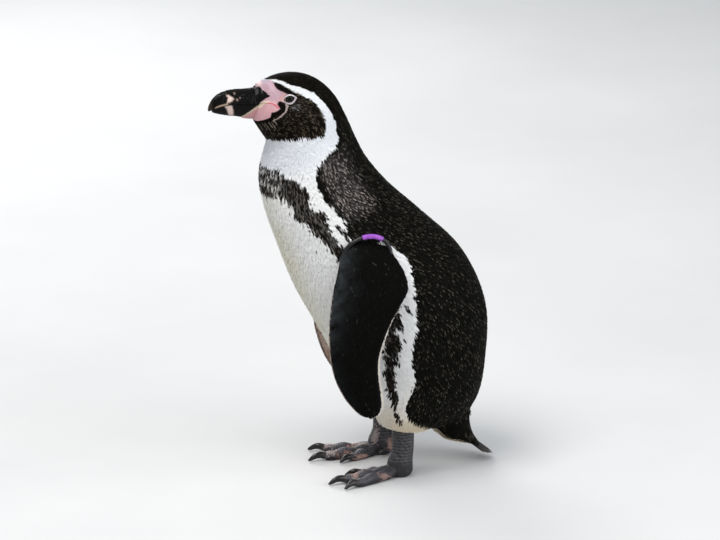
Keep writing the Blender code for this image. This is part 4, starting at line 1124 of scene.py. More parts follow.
# ================================================================= eyes
def eye_frame(side):
    """Centre of the eyeball and its axes: forward along the face, up, and outward."""
    sign = 1 if side == "l" else -1
    T, D = [g.ravel() for g in np.meshgrid(np.linspace(12, 15, 240), np.linspace(60, 150, 360), indexing="ij")]
    p = body(T, D * sign, flat=True)
    p = p[np.hypot(p[:, 1] - EYE_Y, p[:, 2] - EYE_Z).argmin()]
    axis = np.array([sign * 1.0, -0.20, 0.10])
    axis /= np.linalg.norm(axis)
    centre = p - axis * EYE_SINK
    ends = yawed(np.array([centre, centre + axis, centre + (0, -1.0, 0), centre + (0, 0, 1.0)]), 1.0)
    out = ends[1] - ends[0]
    forward = ends[2] - ends[0]
    forward = forward - out * (forward @ out)
    forward /= np.linalg.norm(forward)
    up = np.cross(forward, out) if side == "l" else np.cross(out, forward)
    if up[2] < 0:
        up = -up
    # the opening slants: its front corner sits a little lower than its rear one
    a = math.radians(-7.0)
    f2 = forward * math.cos(a) + up * math.sin(a)
    u2 = up * math.cos(a) - forward * math.sin(a)
    return ends[0], f2, u2, out


EYES = {side: eye_frame(side) for side in "lr"}
LID_IN = (5.45, 3.62)
LID_OUT = (7.1, 5.2)


def eye_pits(p, n):
    """How far the skin sinks at each point to seat the eyeballs, and the folds round them."""
    move = np.zeros(len(p))
    for centre, f, u, out in EYES.values():
        q = p - centre
        x, y, h = q @ f, q @ u, q @ out
        near = (h > 0) & (np.abs(x) < 16) & (np.abs(y) < 14)
        r = np.hypot((x - 0.2) / 6.3, (y + 0.2) / 4.35)
        ring = np.hypot(x / LID_OUT[0], y / LID_OUT[1])
        sink = -4.2 * (1 - smooth(0.82, 1.12, r))
        folds = 0.16 * np.sin((ring - 1.15) * 13.0) * np.exp(-((ring - 1.45) / 0.35) ** 2)
        move = np.where(near, move + sink + folds, move)
    return move


def build_eye(side, skin_tree):
    centre, f, u, out = EYES[side]
    rows, cols = 65, 96
    lat = np.linspace(0, math.pi, rows)[1:-1]
    lon = np.arange(cols) * 2 * math.pi / cols
    r = EYE_RADIUS - 0.06
    x = np.outer(np.sin(lat), np.cos(lon)).ravel() * r
    y = np.outer(np.sin(lat), np.sin(lon)).ravel() * r
    z = np.repeat(np.cos(lat), cols) * r
    # a clear dome stands a little over the pupil
    bulge = 0.15 * np.exp(-(x * x + y * y) / 12.0) * (z > 0)
    rho = np.hypot(x, y)
    iris = np.array([0.0135, 0.0140, 0.0098])
    rays = 0.75 + 0.35 * np.sin(np.arctan2(y, x) * 31 + 2 * np.sin(rho * 3))
    c = np.tile(iris, (len(x), 1)) * rays[:, None]
    c = lerp(c, np.array([0.0024, 0.0024, 0.0022]), 1 - smooth(1.65, 1.95, rho))
    c = lerp(c, np.array([0.036, 0.034, 0.028]), np.exp(-((rho - 2.45) / 0.26) ** 2) * 0.8)
    c = lerp(c, np.array([0.0040, 0.0036, 0.0034]), smooth(3.1, 3.7, rho))
    c = lerp(c, np.array([0.46, 0.31, 0.18]), np.clip(1.1 * np.exp(-((x - 4.85) / 0.55) ** 2 - ((y + 0.25) / 1.15) ** 2), 0, 1))
    c = lerp(c, np.array([0.20, 0.050, 0.026]), np.clip(1.2 * np.exp(-((x - 5.75) / 0.50) ** 2 - ((y + 0.25) / 1.0) ** 2), 0, 1))
    p = centre + np.outer(x, f) + np.outer(y, u) + np.outer(z + bulge, out)
    ball = lofted(f"eyeball_{side}", p.reshape(rows - 2, cols, 3), c, eye_mat)
    # the lids: an almond ring from the eyeball out onto the skin
    n_ring, sec = 120, 11
    a = np.arange(n_ring) * 2 * math.pi / n_ring
    ca, sa = np.cos(a), np.sin(a)
    point = np.exp(-((np.mod(a - math.pi + math.pi, 2 * math.pi) - math.pi) / 0.30) ** 2)
    front = np.exp(-(np.minimum(a, 2 * math.pi - a) / 0.30) ** 2)
    pts, cols_c = [], []
    for k in range(sec):
        w = k / (sec - 1)
        rx = LID_IN[0] + (LID_OUT[0] - LID_IN[0]) * w + 1.0 * point * w + (0.9 + 0.5 * w) * front
        ry = LID_IN[1] + (LID_OUT[1] - LID_IN[1]) * w
        # almond: flatter above and below towards the corners
        lx = rx * ca
        ly = ry * sa * (1 - 0.24 * np.abs(ca) ** 2.2) - 0.2
        rho = np.hypot(lx, ly)
        ball_h = np.sqrt(np.maximum(0.0, EYE_RADIUS ** 2 - np.minimum(rho, EYE_RADIUS - 0.3) ** 2))
        ground, level = [], []
        for i in range(n_ring):
            # the highest skin just here, so that none of it stands through the lid
            found = []
            for share in (0.94, 1.0, 1.07):
                o = centre + f * lx[i] * share + u * ly[i] * share + out * 13.0
                hit = skin_tree.ray_cast(Vector(to_frame(o)), Vector(-out), 0.02)
                found.append(13.0 - hit[3] / MM if hit[0] is not None else 5.0)
            ground.append(max(found) if w > 0.4 else found[1])
            level.append(found[1])
        ground, level = np.array(ground), np.array(level)
        rim = 0.62 * math.sin(math.pi * (0.04 + 0.88 * w)) ** 0.7
        base = np.maximum(ball_h * (1 - float(smooth(0.15, 0.75, w))) + ground * float(smooth(0.15, 0.75, w)), ball_h + 0.05)
        if w > 0.25:
            base = np.maximum(base, level + 0.05)
        h = base + rim - 0.45 * (w > 0.97)
        if k == 0:
            h = ball_h - 0.25
        h += 0.07 * np.sin(a * 26 + 3 * w) * math.sin(math.pi * w) + 0.35 * point * w * (1 - w) * 4
        pts.append(centre + np.outer(lx, f) + np.outer(ly, u) + np.outer(h, out))
        tone = np.tile(np.array([0.62, 0.56, 0.59]), (n_ring, 1))
        # painted shade: the ring darker towards its lower side and lighter above
        tone = tone * (0.90 + 0.10 * sa)[:, None]
        tone = lerp(tone, np.array([0.20, 0.15, 0.15]), np.full(n_ring, 0.6 * (w > 0.97)))
        tone = lerp(tone, np.array([0.10, 0.06, 0.05]), np.full(n_ring, 1.0 if k == 0 else 0.0))
        tone = lerp(tone, np.array([0.72, 0.40, 0.33]), front * 0.6)
        cols_c.append(tone)
    outer, inner = pts[-1] - out * 0.9, pts[0] - out * 0.9
    rings = pts + [outer, inner]
    grid = np.stack(rings, axis=0)
    tones = np.vstack(cols_c + [cols_c[-1], cols_c[0]])
    faces = grid_faces(len(rings), n_ring)
    back = (len(rings) - 1) * n_ring + np.arange(n_ring)
    j = np.arange(n_ring)
    close = np.stack([back, (len(rings) - 1) * n_ring + (j + 1) % n_ring, (j + 1) % n_ring, j], axis=1)
    lid = outward(make(f"eyelid_{side}", grid.reshape(-1, 3), [faces, close], tones, None, lid_mat))
    return ball, lid


# ================================================================= the coat
def scatter(at, a_range, spacing, across, seed, b_range=(0.0, 360.0), fine=320):
    """Places for feathers: rows along a, evenly round each, staggered, and thinned where rows crowd together."""
    rng = np.random.default_rng(SEED + seed)
    aa = np.linspace(*a_range, fine)
    bb = np.linspace(*b_range, 145)
    A, B = [g.ravel() for g in np.meshgrid(aa, bb, indexing="ij")]
    P = at(A, B)[0].reshape(fine, len(bb), 3)
    speed = np.linalg.norm(np.gradient(P, axis=0), axis=2) / (aa[1] - aa[0])
    fastest = speed.max(axis=1)
    rows = np.concatenate([[0], np.cumsum((fastest / spacing(aa))[:-1] * np.diff(aa))])
    where = np.interp(np.arange(1, int(rows[-1])) + 0.0, rows, aa)
    out_a, out_b = [], []
    for k, a in enumerate(where):
        i = min(int((a - aa[0]) / (aa[1] - aa[0])), fine - 1)
        arc = np.concatenate([[0], np.cumsum(np.linalg.norm(np.diff(P[i], axis=0), axis=1))])
        m = max(4, int(round(arc[-1] / across(a))))
        place = (np.arange(m) + 0.5 * (k % 2) + rng.uniform(-0.3, 0.3, m)) * arc[-1] / m
        b = np.interp(np.mod(place, arc[-1]), arc, bb)
        share = np.interp(b, bb, speed[i] / fastest[i])
        keep = np.floor((k + 1) * share) > np.floor(k * share)
        b = b[keep]
        out_b.append(b)
        out_a.append(a + rng.uniform(-0.28, 0.28, len(b)) * spacing(a) / np.interp(b, bb, speed[i]))
    return np.concatenate(out_a), np.concatenate(out_b)


U_VANE, W_VANE = np.array([0.0, 0.38, 0.68, 0.88, 1.0]), np.array([0.55, 1.0, 0.95, 0.60])
U_SILK, W_SILK = np.array([0.0, 0.34, 0.66, 1.0]), np.array([0.60, 1.0, 0.88])


def flow(at, a, b, length, drift, us, sink, lift, toward=-1.0, limits=(0.0, 1.0)):
    """Centre lines of feathers that start at (a, b) and run over the surface, rising from the skin to the outer form."""
    lo, hi = limits
    p, pa, pb, n = at(a, b)
    d = pa / np.linalg.norm(pa, axis=1)[:, None] * toward
    side = np.cross(n, d)
    d = d * np.cos(drift)[:, None] + side * np.sin(drift)[:, None]
    E, F, G = (pa * pa).sum(1), (pa * pb).sum(1), (pb * pb).sum(1)
    ra, rb = (d * pa).sum(1), (d * pb).sum(1)
    det = E * G - F * F
    da, db = (ra * G - rb * F) / det, (rb * E - ra * F) / det
    centres, normals = [], []
    for u in us:
        ak = a + da * length * u
        inside = np.clip(ak, lo, hi)
        q, qa, _, m = at(inside, b + db * length * u)
        q = q + qa * (ak - inside)[:, None]
        h = -sink + (sink + lift) * u ** 0.85
        centres.append(q + m * h[:, None])
        normals.append(m)
    return np.stack(centres, axis=1), np.stack(normals, axis=1)


def vane_arrays(centres, normals, width, length, root_c, edge_c, tip_c, bake, silk, rng, tip_from=0.62):
    """Thin arched vanes along centre lines: points, faces, tints, and the two maps."""
    n, rows = centres.shape[:2]
    us, ws = (U_SILK, W_SILK) if silk else (U_VANE, W_VANE)
    cols = 4 if silk else 3
    tangent = np.gradient(centres, axis=1)
    tangent /= np.maximum(np.linalg.norm(tangent, axis=2, keepdims=True), 1e-9)
    side = np.cross(normals, tangent)
    side /= np.maximum(np.linalg.norm(side, axis=2, keepdims=True), 1e-9)
    xs = np.linspace(-1, 1, cols)
    roll = rng.normal(0, 0.08 if silk else 0.14, n)
    arch = 0.12 if silk else 0.30
    tips = 3 if silk else 1
    count = (rows - 1) * cols + tips
    pts = np.empty((n, count, 3))
    vx = np.empty((n, count))
    vu = np.empty((n, count))
    for r in range(rows - 1):
        w = width * 0.5 * ws[r]
        for c in range(cols):
            x = xs[c]
            k = r * cols + c
            pts[:, k] = centres[:, r] + side[:, r] * (x * w)[:, None] + normals[:, r] * ((roll * x - arch * x * x) * w)[:, None]
            vx[:, k], vu[:, k] = x, us[r]
    if silk:
        for c, x in enumerate((-0.66, 0.0, 0.66)):
            k = (rows - 1) * cols + c
            reach = rng.uniform(0.35, 1.05, n)
            w = width * 0.5 * 0.80
            pts[:, k] = (centres[:, -2] + (centres[:, -1] - centres[:, -2]) * reach[:, None]
                         + side[:, -1] * ((x + rng.normal(0, 0.12, n)) * w)[:, None] + normals[:, -1] * (rng.uniform(-0.06, 0.05, n) * width)[:, None])
            vx[:, k], vu[:, k] = x, us[-2] + (1 - us[-2]) * reach
    else:
        pts[:, -1] = centres[:, -1]
        vx[:, -1], vu[:, -1] = 0.0, 1.0
    base = np.arange(n)[:, None] * count
    faces = []
    for r in range(rows - 2):
        for c in range(cols - 1):
            k = r * cols + c
            faces.append(base + np.array([k, k + cols, k + cols + 1, k + 1]))
    tri = []
    for c in range(cols - 1):
        k = (rows - 2) * cols + c
        tip = (rows - 1) * cols + (c if silk else 0)
        tri.append(base + np.array([k, tip, k + 1]))
    quads = np.stack(faces, axis=1).reshape(-1, 4)
    tris = np.stack(tri, axis=1).reshape(-1, 3)
    k = smooth(np.reshape(tip_from, (-1, 1)), np.reshape(tip_from, (-1, 1)) + 0.14, vu)[..., None]
    e = np.abs(vx)[..., None]
    end = tip_c[:, None] * (1 - e) + edge_c[:, None] * e
    c = root_c[:, None] * (1 - k) + end * k
    # painted shade: each vane darker towards its root, where the vanes above lie over it
    c = c * ((0.94 if silk else 0.80) + (0.06 if silk else 0.20) * smooth(0.1, 0.6, vu))[..., None]
    c = c * (rng.uniform(0.96, 1.03, n) if silk else rng.uniform(0.88, 1.10, n))[:, None, None]
    uv = np.empty((n, count, 2))
    uv[..., 0] = bake[:, 0:1] + vx * 0.0014
    uv[..., 1] = bake[:, 1:2] + (vu - 0.5) * 0.0028
    vane = np.empty((n, count, 2))
    vane[..., 0] = vx
    vane[..., 1] = vu * (length / width)[:, None]
    return pts.reshape(-1, 3), quads, tris, c.reshape(-1, 3), uv.reshape(-1, 2), vane.reshape(-1, 2)


def coat_piece(name, batches, material):
    pts, quads, tris, tint, bake, vane, start = [], [], [], [], [], [], 0
    for p, q, t, c, u, v in batches:
        pts.append(p)
        quads.append(q + start)
        tris.append(t + start)
        tint.append(c)
        bake.append(u)
        vane.append(v)
        start += len(p)
    ob = make(name, np.vstack(pts), [np.vstack(quads), np.vstack(tris)], np.vstack(tint),
              {"OFBake": np.vstack(bake), "Vane": np.vstack(vane)}, material)
    ob.data.uv_layers.active = ob.data.uv_layers["OFBake"]
    made = 2 * sum(len(q) for q in quads) + sum(len(t) for t in tris)
    print(f"{name}: {made} triangles")
    return ob


def body_colours(a, b, p, rng):
    """Root, edge and tip colours of the body's feathers, how far each stands out, and which are silky."""
    n = len(a)
    d = fold(b)
    kind, sd = marking(a + rng.normal(0, 0.012, n), b + rng.normal(0, 0.5, n))
    white = white_colour(a, d, p)
    back, shoulder = back_colour(a, d, p)
    root, edge, tip = white * 0.93, white.copy(), white.copy()
    lift = np.zeros(n)
    tip_from = np.full(n, 0.45)
    # breast band: dark ends in ragged spots, close together in the middle and loose at the margins
    chest = smooth(5.3, 6.0, a)
    long_ = np.where(a > 5.5, 4.6, 9.5)
    q = np.column_stack([d * 1.05 / np.where(a > 5.5, 3.3, 4.2), a * 27.0 / long_, np.where(np.mod(b, 360) < 180, 0.0, 7.3)])
    ragged = noise3(q, 2.1, 81)
    cap = np.where((d < 42) & (a > 7.0), 0.9, np.where(a > 5.5, 3.4, 3.0))
    dark = np.minimum(sd, cap) + 2.7 * ragged + rng.normal(0, 0.55, n) > 0
    dark &= sd > -3.2
    spots = (rng.random(n) < 0.010 * smooth(-14, -3, sd)) & (a < 8.9) & (a > 1.5)
    comma = polygon_distance(d * 1.05, a * 27.0, COMMA * (1.05, 27.0)) > -0.7
    spot = (((d - 86.0) * 1.05 / 1.5) ** 2 + ((a - 4.05) * 27.0 / 2.8) ** 2) < 1
    dark |= spots | comma | spot
    dark &= kind == WHITE
    within = (sd > 0.5) & (kind == WHITE) & (~dark)
    shade_in = np.where(within, rng.uniform(0.35, 0.85, n) * smooth(0.0, 4.0, sd), 0.0)
    edge = lerp(edge, np.array([0.24, 0.21, 0.19]), shade_in)
    tip = lerp(tip, np.array([0.26, 0.23, 0.21]), shade_in)
    root = lerp(root, np.array([0.10, 0.085, 0.075]), shade_in)
    edge[dark] = BAND_C * rng.uniform(0.35, 1.2, (dark.sum(), 1))
    tip[dark] = edge[dark]
    deep = dark & (sd > 0.0)
    root[deep] = root[deep] * 0.12
    some = deep & (rng.random(n) < np.where(a > 5.5, 0.38, 0.12))
    tip[some] = np.array([0.150, 0.125, 0.108]) * rng.uniform(0.35, 1.5, (some.sum(), 1))
    tip_from[some] = 0.74
    tip_from[dark & ~deep] = 0.55
    # back
    k = kind == BACK
    root[k] = back[k]
    edge[k] = back[k] * rng.uniform(0.6, 1.3, (k.sum(), 1))
    tip[k] = edge[k]
    fleck = k & (rng.random(n) < 0.24 + 0.38 * shoulder)
    pale = np.array([0.070, 0.062, 0.049]) + shoulder[:, None] * np.array([0.25, 0.21, 0.21])
    tip[fleck] = pale[fleck] * rng.uniform(0.3, 1.6, (fleck.sum(), 1))
    tip_from[fleck] = rng.uniform(0.70, 0.80, fleck.sum())
    lift[k] = 0.08 + 0.6 * shoulder[k] * rng.random(k.sum())
    # crown and cheek
    k = kind == CROWN
    root[k] = edge[k] = CROWN_C
    tip[k] = CROWN_C * rng.uniform(0.8, 1.8, (k.sum(), 1))
    fleck = k & (rng.random(n) < 0.11)
    tip[fleck] = np.array([0.036, 0.028, 0.019]) * rng.uniform(0.5, 1.3, (fleck.sum(), 1))
    k = kind == CHEEK
    root[k] = edge[k] = CHEEK_C
    tip[k] = CHEEK_C * rng.uniform(0.8, 1.6, (k.sum(), 1))
    inner = smooth(3.0, 9.0, -bare(a, b) * 12)
    fleck = k & (rng.random(n) < 0.26 * inner)
    tip[fleck] = np.array([0.105, 0.083, 0.058]) * rng.uniform(0.4, 1.5, (fleck.sum(), 1))
    # below the eye a paler grey patch: pale feather tips, with a painted bluish-grey sheen
    grey = np.exp(-((d - 103.0) / 5.8) ** 2 - ((a - 12.40) / 0.40) ** 2)
    tip[k] = lerp(tip[k], np.array([0.085, 0.080, 0.082]), 0.8 * grey[k])
    s = k & (rng.random(n) < 0.45 * grey)
    tip[s] = np.array([0.29, 0.275, 0.285]) * rng.uniform(0.4, 1.3, (s.sum(), 1))
    streak, _ = line_distance(d * 0.75, a * 12.5, CHEEK_STREAK * (0.75, 12.5))
    s = k & (rng.random(n) < np.exp(-(streak / 0.85) ** 2) * 1.35 * (1 - 0.5 * smooth(84, 66, d)))
    tip[s] = np.array([0.56, 0.44, 0.40]) * rng.uniform(0.7, 1.2, (s.sum(), 1))
    edge[s] = tip[s] * 0.8
    for line in CHIN_LINES:
        ds, _ = line_distance(d * 0.75, a * 12.5, line * (0.75, 12.5))
        s = k & (rng.random(n) < np.exp(-(ds / 0.55) ** 2) * 0.9)
        tip[s] = np.array([0.40, 0.35, 0.30]) * rng.uniform(0.5, 1.2, (s.sum(), 1))
    silky = (kind == WHITE) & (~dark)
    return root, edge, tip, lift, silky, shoulder, tip_from


CHIN_LINES = [np.array([(34.8, 14.53), (30.2, 13.23)]), np.array([(41.6, 14.32), (36.8, 12.97)]), np.array([(51.9, 14.1), (45.7, 12.51)]),
              np.array([(57.1, 13.81), (51.1, 12.66)]), np.array([(63.5, 13.6), (59.9, 12.99)]), np.array([(18, 14.5), (16, 13.3)])]


def line_feathers(lo, hi, rng):
    """The pale line down each cheek and the fine ones under the chin: small feathers laid end over end along them."""
    out = []
    scale = np.array([0.75, 12.5])
    for line, count, size, spread, tone in [(CHEEK_STREAK, 190, 3.0, 0.36, (0.48, 0.385, 0.35))] + [(c, 26, 2.6, 0.18, (0.34, 0.29, 0.25)) for c in CHIN_LINES]:
        q = line * scale
        step = np.linalg.norm(np.diff(q, axis=0), axis=1)
        arc = np.concatenate([[0], np.cumsum(step)])
        for sign in (1, -1):
            s = np.sort(rng.uniform(0, max(arc[-1] - size * 0.8, 0.1), count))
            length = size * rng.uniform(0.8, 1.2, count)
            off = np.clip(rng.normal(0, 1, count), -1.4, 1.4) * spread * (1.5 - s / arc[-1])
            at = s[:, None] + length[:, None] * U_VANE[None]
            x = np.stack([np.interp(at, arc, q[:, 0]), np.interp(at, arc, q[:, 1])], axis=-1)
            way = x[:, -1] - x[:, 0]
            way /= np.maximum(np.linalg.norm(way, axis=1), 1e-6)[:, None]
            x = x + (np.column_stack([-way[:, 1], way[:, 0]]) * off[:, None])[:, None]
            d, t = x[..., 0] / scale[0], x[..., 1] / scale[1]
            inside = (t[:, 0] >= lo) & (t[:, 0] < hi)
            if not inside.any():
                continue
            d, t, length = d[inside], t[inside], length[inside]
            m = len(length)
            p, _, _, n = body_basis(t.ravel(), (d * sign).ravel())
            p, n = p.reshape(m, -1, 3), n.reshape(m, -1, 3)
            h = -0.65 + 0.72 * U_VANE[None] ** 0.6 + rng.uniform(-0.05, 0.05, (m, 1))
            c = np.array(tone) * rng.uniform(0.7, 1.2, (m, 1))
            bake = np.column_stack([np.mod(d[:, 2] * sign, 360.0) / 360.0 * 0.996 + 0.002, (t[:, 0] - lo) / (hi - lo) * 0.992 + 0.004])
            out.append(vane_arrays(p + n * h[..., None], n, length * 0.13, length, c * 0.8, c * 0.9, c, bake, False, rng))
    return out


def feather_length(t):
    return np.interp(t, [0, 1, 3, 6.5, 8.5, 10, 11.5, 13, 14.5, 16], [14, 13, 11.5, 10.5, 9.5, 7.5, 5.6, 4.4, 3.2, 2.4])


def row_spacing(t):
    return np.interp(t, [0, 3, 6.5, 8.5, 10, 11.5, 13, 14.5, 16], [2.55, 2.45, 2.25, 2.0, 1.55, 1.20, 1.02, 0.85, 0.75])


def body_coat():
    across = lambda t: row_spacing(t) * np.interp(t, [8, 11], [0.86, 0.76])
    a, b = scatter(body_basis, (0.05, LAST - 0.25), row_spacing, across, 1)
    rng = np.random.default_rng(SEED + 2)
    # nothing grows on the bare face or within the eye rings, nor under the horn
    length = feather_length(a) * rng.uniform(0.82, 1.15, len(a))
    keep = bare(a, b) < -0.02
    mid, pa, _, _ = body_basis(a, b)
    end = mid - pa / np.linalg.norm(pa, axis=1)[:, None] * length[:, None]
    for centre, f, u, out in EYES.values():
        for share in (0.0, 0.35, 0.7, 1.0):
            q = mid + (end - mid) * share - centre
            # roots may start under the rim of the ring
            part = 0.83 if share == 0.0 else 1.0
            keep &= ~((q @ out > 0) & (np.hypot((q @ f - 0.3) / 7.7, (q @ u + 0.2) / 5.5) < part))
    a, b, length = a[keep], b[keep], length[keep]
    order = np.argsort(a, kind="stable")
    a, b, length = a[order], b[order], length[order]
    pieces, limit = [], 12600
    count = int(math.ceil(len(a) / limit))
    print("body feathers", len(a))
    for k, chosen in enumerate(np.array_split(np.arange(len(a)), count)):
        ca, cb, cl = a[chosen], b[chosen], length[chosen]
        rng = np.random.default_rng(SEED + 100 + k)
        seen = body_basis(ca, cb)
        place = seen[0] - seen[1] / np.linalg.norm(seen[1], axis=1)[:, None] * (cl * 0.72)[:, None]
        sta = ca - cl * 0.72 / np.linalg.norm(seen[1], axis=1)
        root, edge, tip, lift, silky, shoulder, tip_from = body_colours(np.clip(sta, 0, LAST), cb, place, rng)
        d = fold(cb)
        sign = np.where(np.mod(cb, 360) < 180, 1.0, -1.0)
        drift = rng.normal(0, 0.10, len(ca)) + 0.18 * shoulder * rng.normal(0, 1, len(ca))
        depth = coat_depth(ca, cb)
        width = cl * np.interp(ca, [0, 8, 11, 16], [0.185, 0.19, 0.185, 0.23])
        width = np.where(silky, width * 1.50, width * 1.0)
        cl = np.where(silky, cl * 1.05, cl)
        # the map: round the body across, along the body up
        lo, hi = ca.min(), ca.max()
        bake = np.column_stack([np.mod(cb, 360.0) / 360.0 * 0.996 + 0.002, (ca - lo) / (hi - lo) * 0.992 + 0.004])
        batches = []
        for silk in (False, True):
            m = silky == silk
            if not m.any():
                continue
            us = U_SILK if silk else U_VANE
            centres, normals = flow(coat_basis, ca[m], cb[m], cl[m], drift[m], us, depth[m] * 0.95, lift[m] + rng.normal(0.0, 0.05 if silk else 0.10, m.sum()),
                                    limits=(-0.9, LAST - 0.03))
            batches.append(vane_arrays(centres, normals, width[m], cl[m], root[m], edge[m], tip[m], bake[m], silk, rng, tip_from[m]))
        batches += line_feathers(lo, hi, rng)
        pieces.append(coat_piece(f"coat_body_{k:02d}", batches, feather_mat))
    return pieces


def flipper_coat(side):
    at = flipper_basis(side)
    spacing = lambda t: np.interp(t, [0, 4, 13], [2.0, 1.75, 1.5])
    a, b = scatter(at, (0.15, FLIPPER_LAST - 0.08), spacing, lambda t: spacing(t) * 0.9, 11 if side == "l" else 12)
    rng = np.random.default_rng(SEED + (21 if side == "l" else 22))
    n = len(a)
    length = np.interp(a, [0, 3, 13], [7.0, 5.2, 3.8]) * rng.uniform(0.85, 1.15, n)
    width = length * 0.42
    d = np.mod(b, 360)
    outer = d < 180
    # on the faces the feathers slant towards the trailing edge
    lean = 0.30 * np.sin(np.radians(d)) * (1 if side == "l" else -1)
    p = at(a, b)[0]
    c = flipper_colour(a + 0.02, b, p, side)
    tip = c * rng.uniform(0.8, 1.5, (n, 1))
    edge = c * 0.85
    fleck = outer & (rng.random(n) < 0.12)
    tip[fleck] = tip[fleck] + np.array([0.0028, 0.0028, 0.0032])
    thick = hermite(np.arange(len(FLIPPER_ROWS)), FLIPPER_ROWS, a)[:, 4]
    sink = np.minimum(0.55, 0.14 * thick)
    centres, normals = flow(at, a, b, length, lean * (1 if side == "l" else 1) + rng.normal(0, 0.06, n), U_VANE, sink,
                            np.full(n, 0.05), 1.0, (0.03, FLIPPER_LAST - 0.03))
    bake = np.column_stack([d / 360.0 * 0.996 + 0.002, a / FLIPPER_LAST * 0.99 + 0.005])
    batches = [vane_arrays(centres, normals, width, length, c, edge, tip, bake, False, rng)]
    # the fringe of the trailing edge: dark outside, pale below
    m = 560
    ft = np.sort(rng.uniform(1.6, FLIPPER_LAST - 0.25, m * 2))
    layer = np.tile([0, 1], m)
    fb = np.where(layer == 0, 174.0, 187.0) + rng.uniform(-4, 4, m * 2)
    p, pa, pb, nn = at(ft, fb)
    down = pa / np.linalg.norm(pa, axis=1)[:, None]
    back = at(ft, np.full(m * 2, 180.0))[0] - at(ft, np.full(m * 2, 0.0))[0]
    back /= np.linalg.norm(back, axis=1)[:, None]
    slant = np.radians(rng.uniform(24, 38, m * 2))
    run = down * np.cos(slant)[:, None] + back * np.sin(slant)[:, None]
    fl = rng.uniform(4.2, 6.2, m * 2) * np.interp(ft, [1.6, 4, 10, 13], [0.6, 1, 1, 0.7])
    # how far each tip passes the edge: ragged dark points outside, and from the middle down a pale margin below them
    past = np.where(layer == 0, rng.normal(0.2, 0.35, m * 2), rng.normal(2.5, 0.45, m * 2) * np.interp(ft, [4.5, 6.5, 8.5, 12, 13], [0.15, 0.75, 1, 1, 0.7]))
    flat = np.cross(run, np.cross(at(ft, np.full(m * 2, 90.0))[3], run))
    flat /= np.linalg.norm(flat, axis=1)[:, None]
    start = past - fl * np.sin(slant)
    cc = np.stack([p + back * start[:, None] + run * (fl * u)[:, None] + flat * (0.45 - 0.30 * layer + 0.15 * u)[:, None] for u in U_VANE], axis=1)
    nn = np.repeat(flat[:, None], len(U_VANE), axis=1)
    dark, light = np.array([0.007, 0.0065, 0.007]), np.array([0.74, 0.68, 0.60])
    base = np.where(layer[:, None] == 0, dark, light)
    bake = np.column_stack([np.full(m * 2, 0.5) + rng.uniform(-0.01, 0.01, m * 2), ft / FLIPPER_LAST * 0.99 + 0.005])
    batches.append(vane_arrays(cc, nn, fl * np.where(layer == 0, 0.26, 0.22), fl, base, base * 0.9, base, bake, False, rng))
    # a thin pale line of tiny feathers down the leading edge
    m = 520
    ft = np.sort(rng.uniform(3.6, FLIPPER_LAST - 0.1, m))
    fb = rng.uniform(-8, 8, m)
    p, pa, pb, nn = at(ft, fb)
    run = pa / np.linalg.norm(pa, axis=1)[:, None] * 0.98 + nn * 0.16
    fl = rng.uniform(2.4, 3.3, m)
    cc = np.stack([p + run * (fl * u)[:, None] + nn * (-0.20 + 0.35 * u) for u in U_VANE], axis=1)
    tone = np.array([0.40, 0.31, 0.27] if side == "l" else [0.30, 0.225, 0.185]) * rng.uniform(0.6, 1.1, (m, 1))
    some = rng.random(m) < np.interp(ft, [3.6, 5.0, 6.5, 8.5], [0.12, 0.50, 0.88, 1.0])
    tone[~some] = np.array([0.009, 0.009, 0.010])
    bake = np.column_stack([np.full(m, 0.012) + rng.uniform(-0.008, 0.008, m), ft / FLIPPER_LAST * 0.99 + 0.005])
    batches.append(vane_arrays(cc, np.repeat(nn[:, None], len(U_VANE), axis=1), fl * 0.36, fl, tone, tone, tone, bake, False, rng))
    return coat_piece(f"coat_flipper_{side}", batches, flipper_mat)


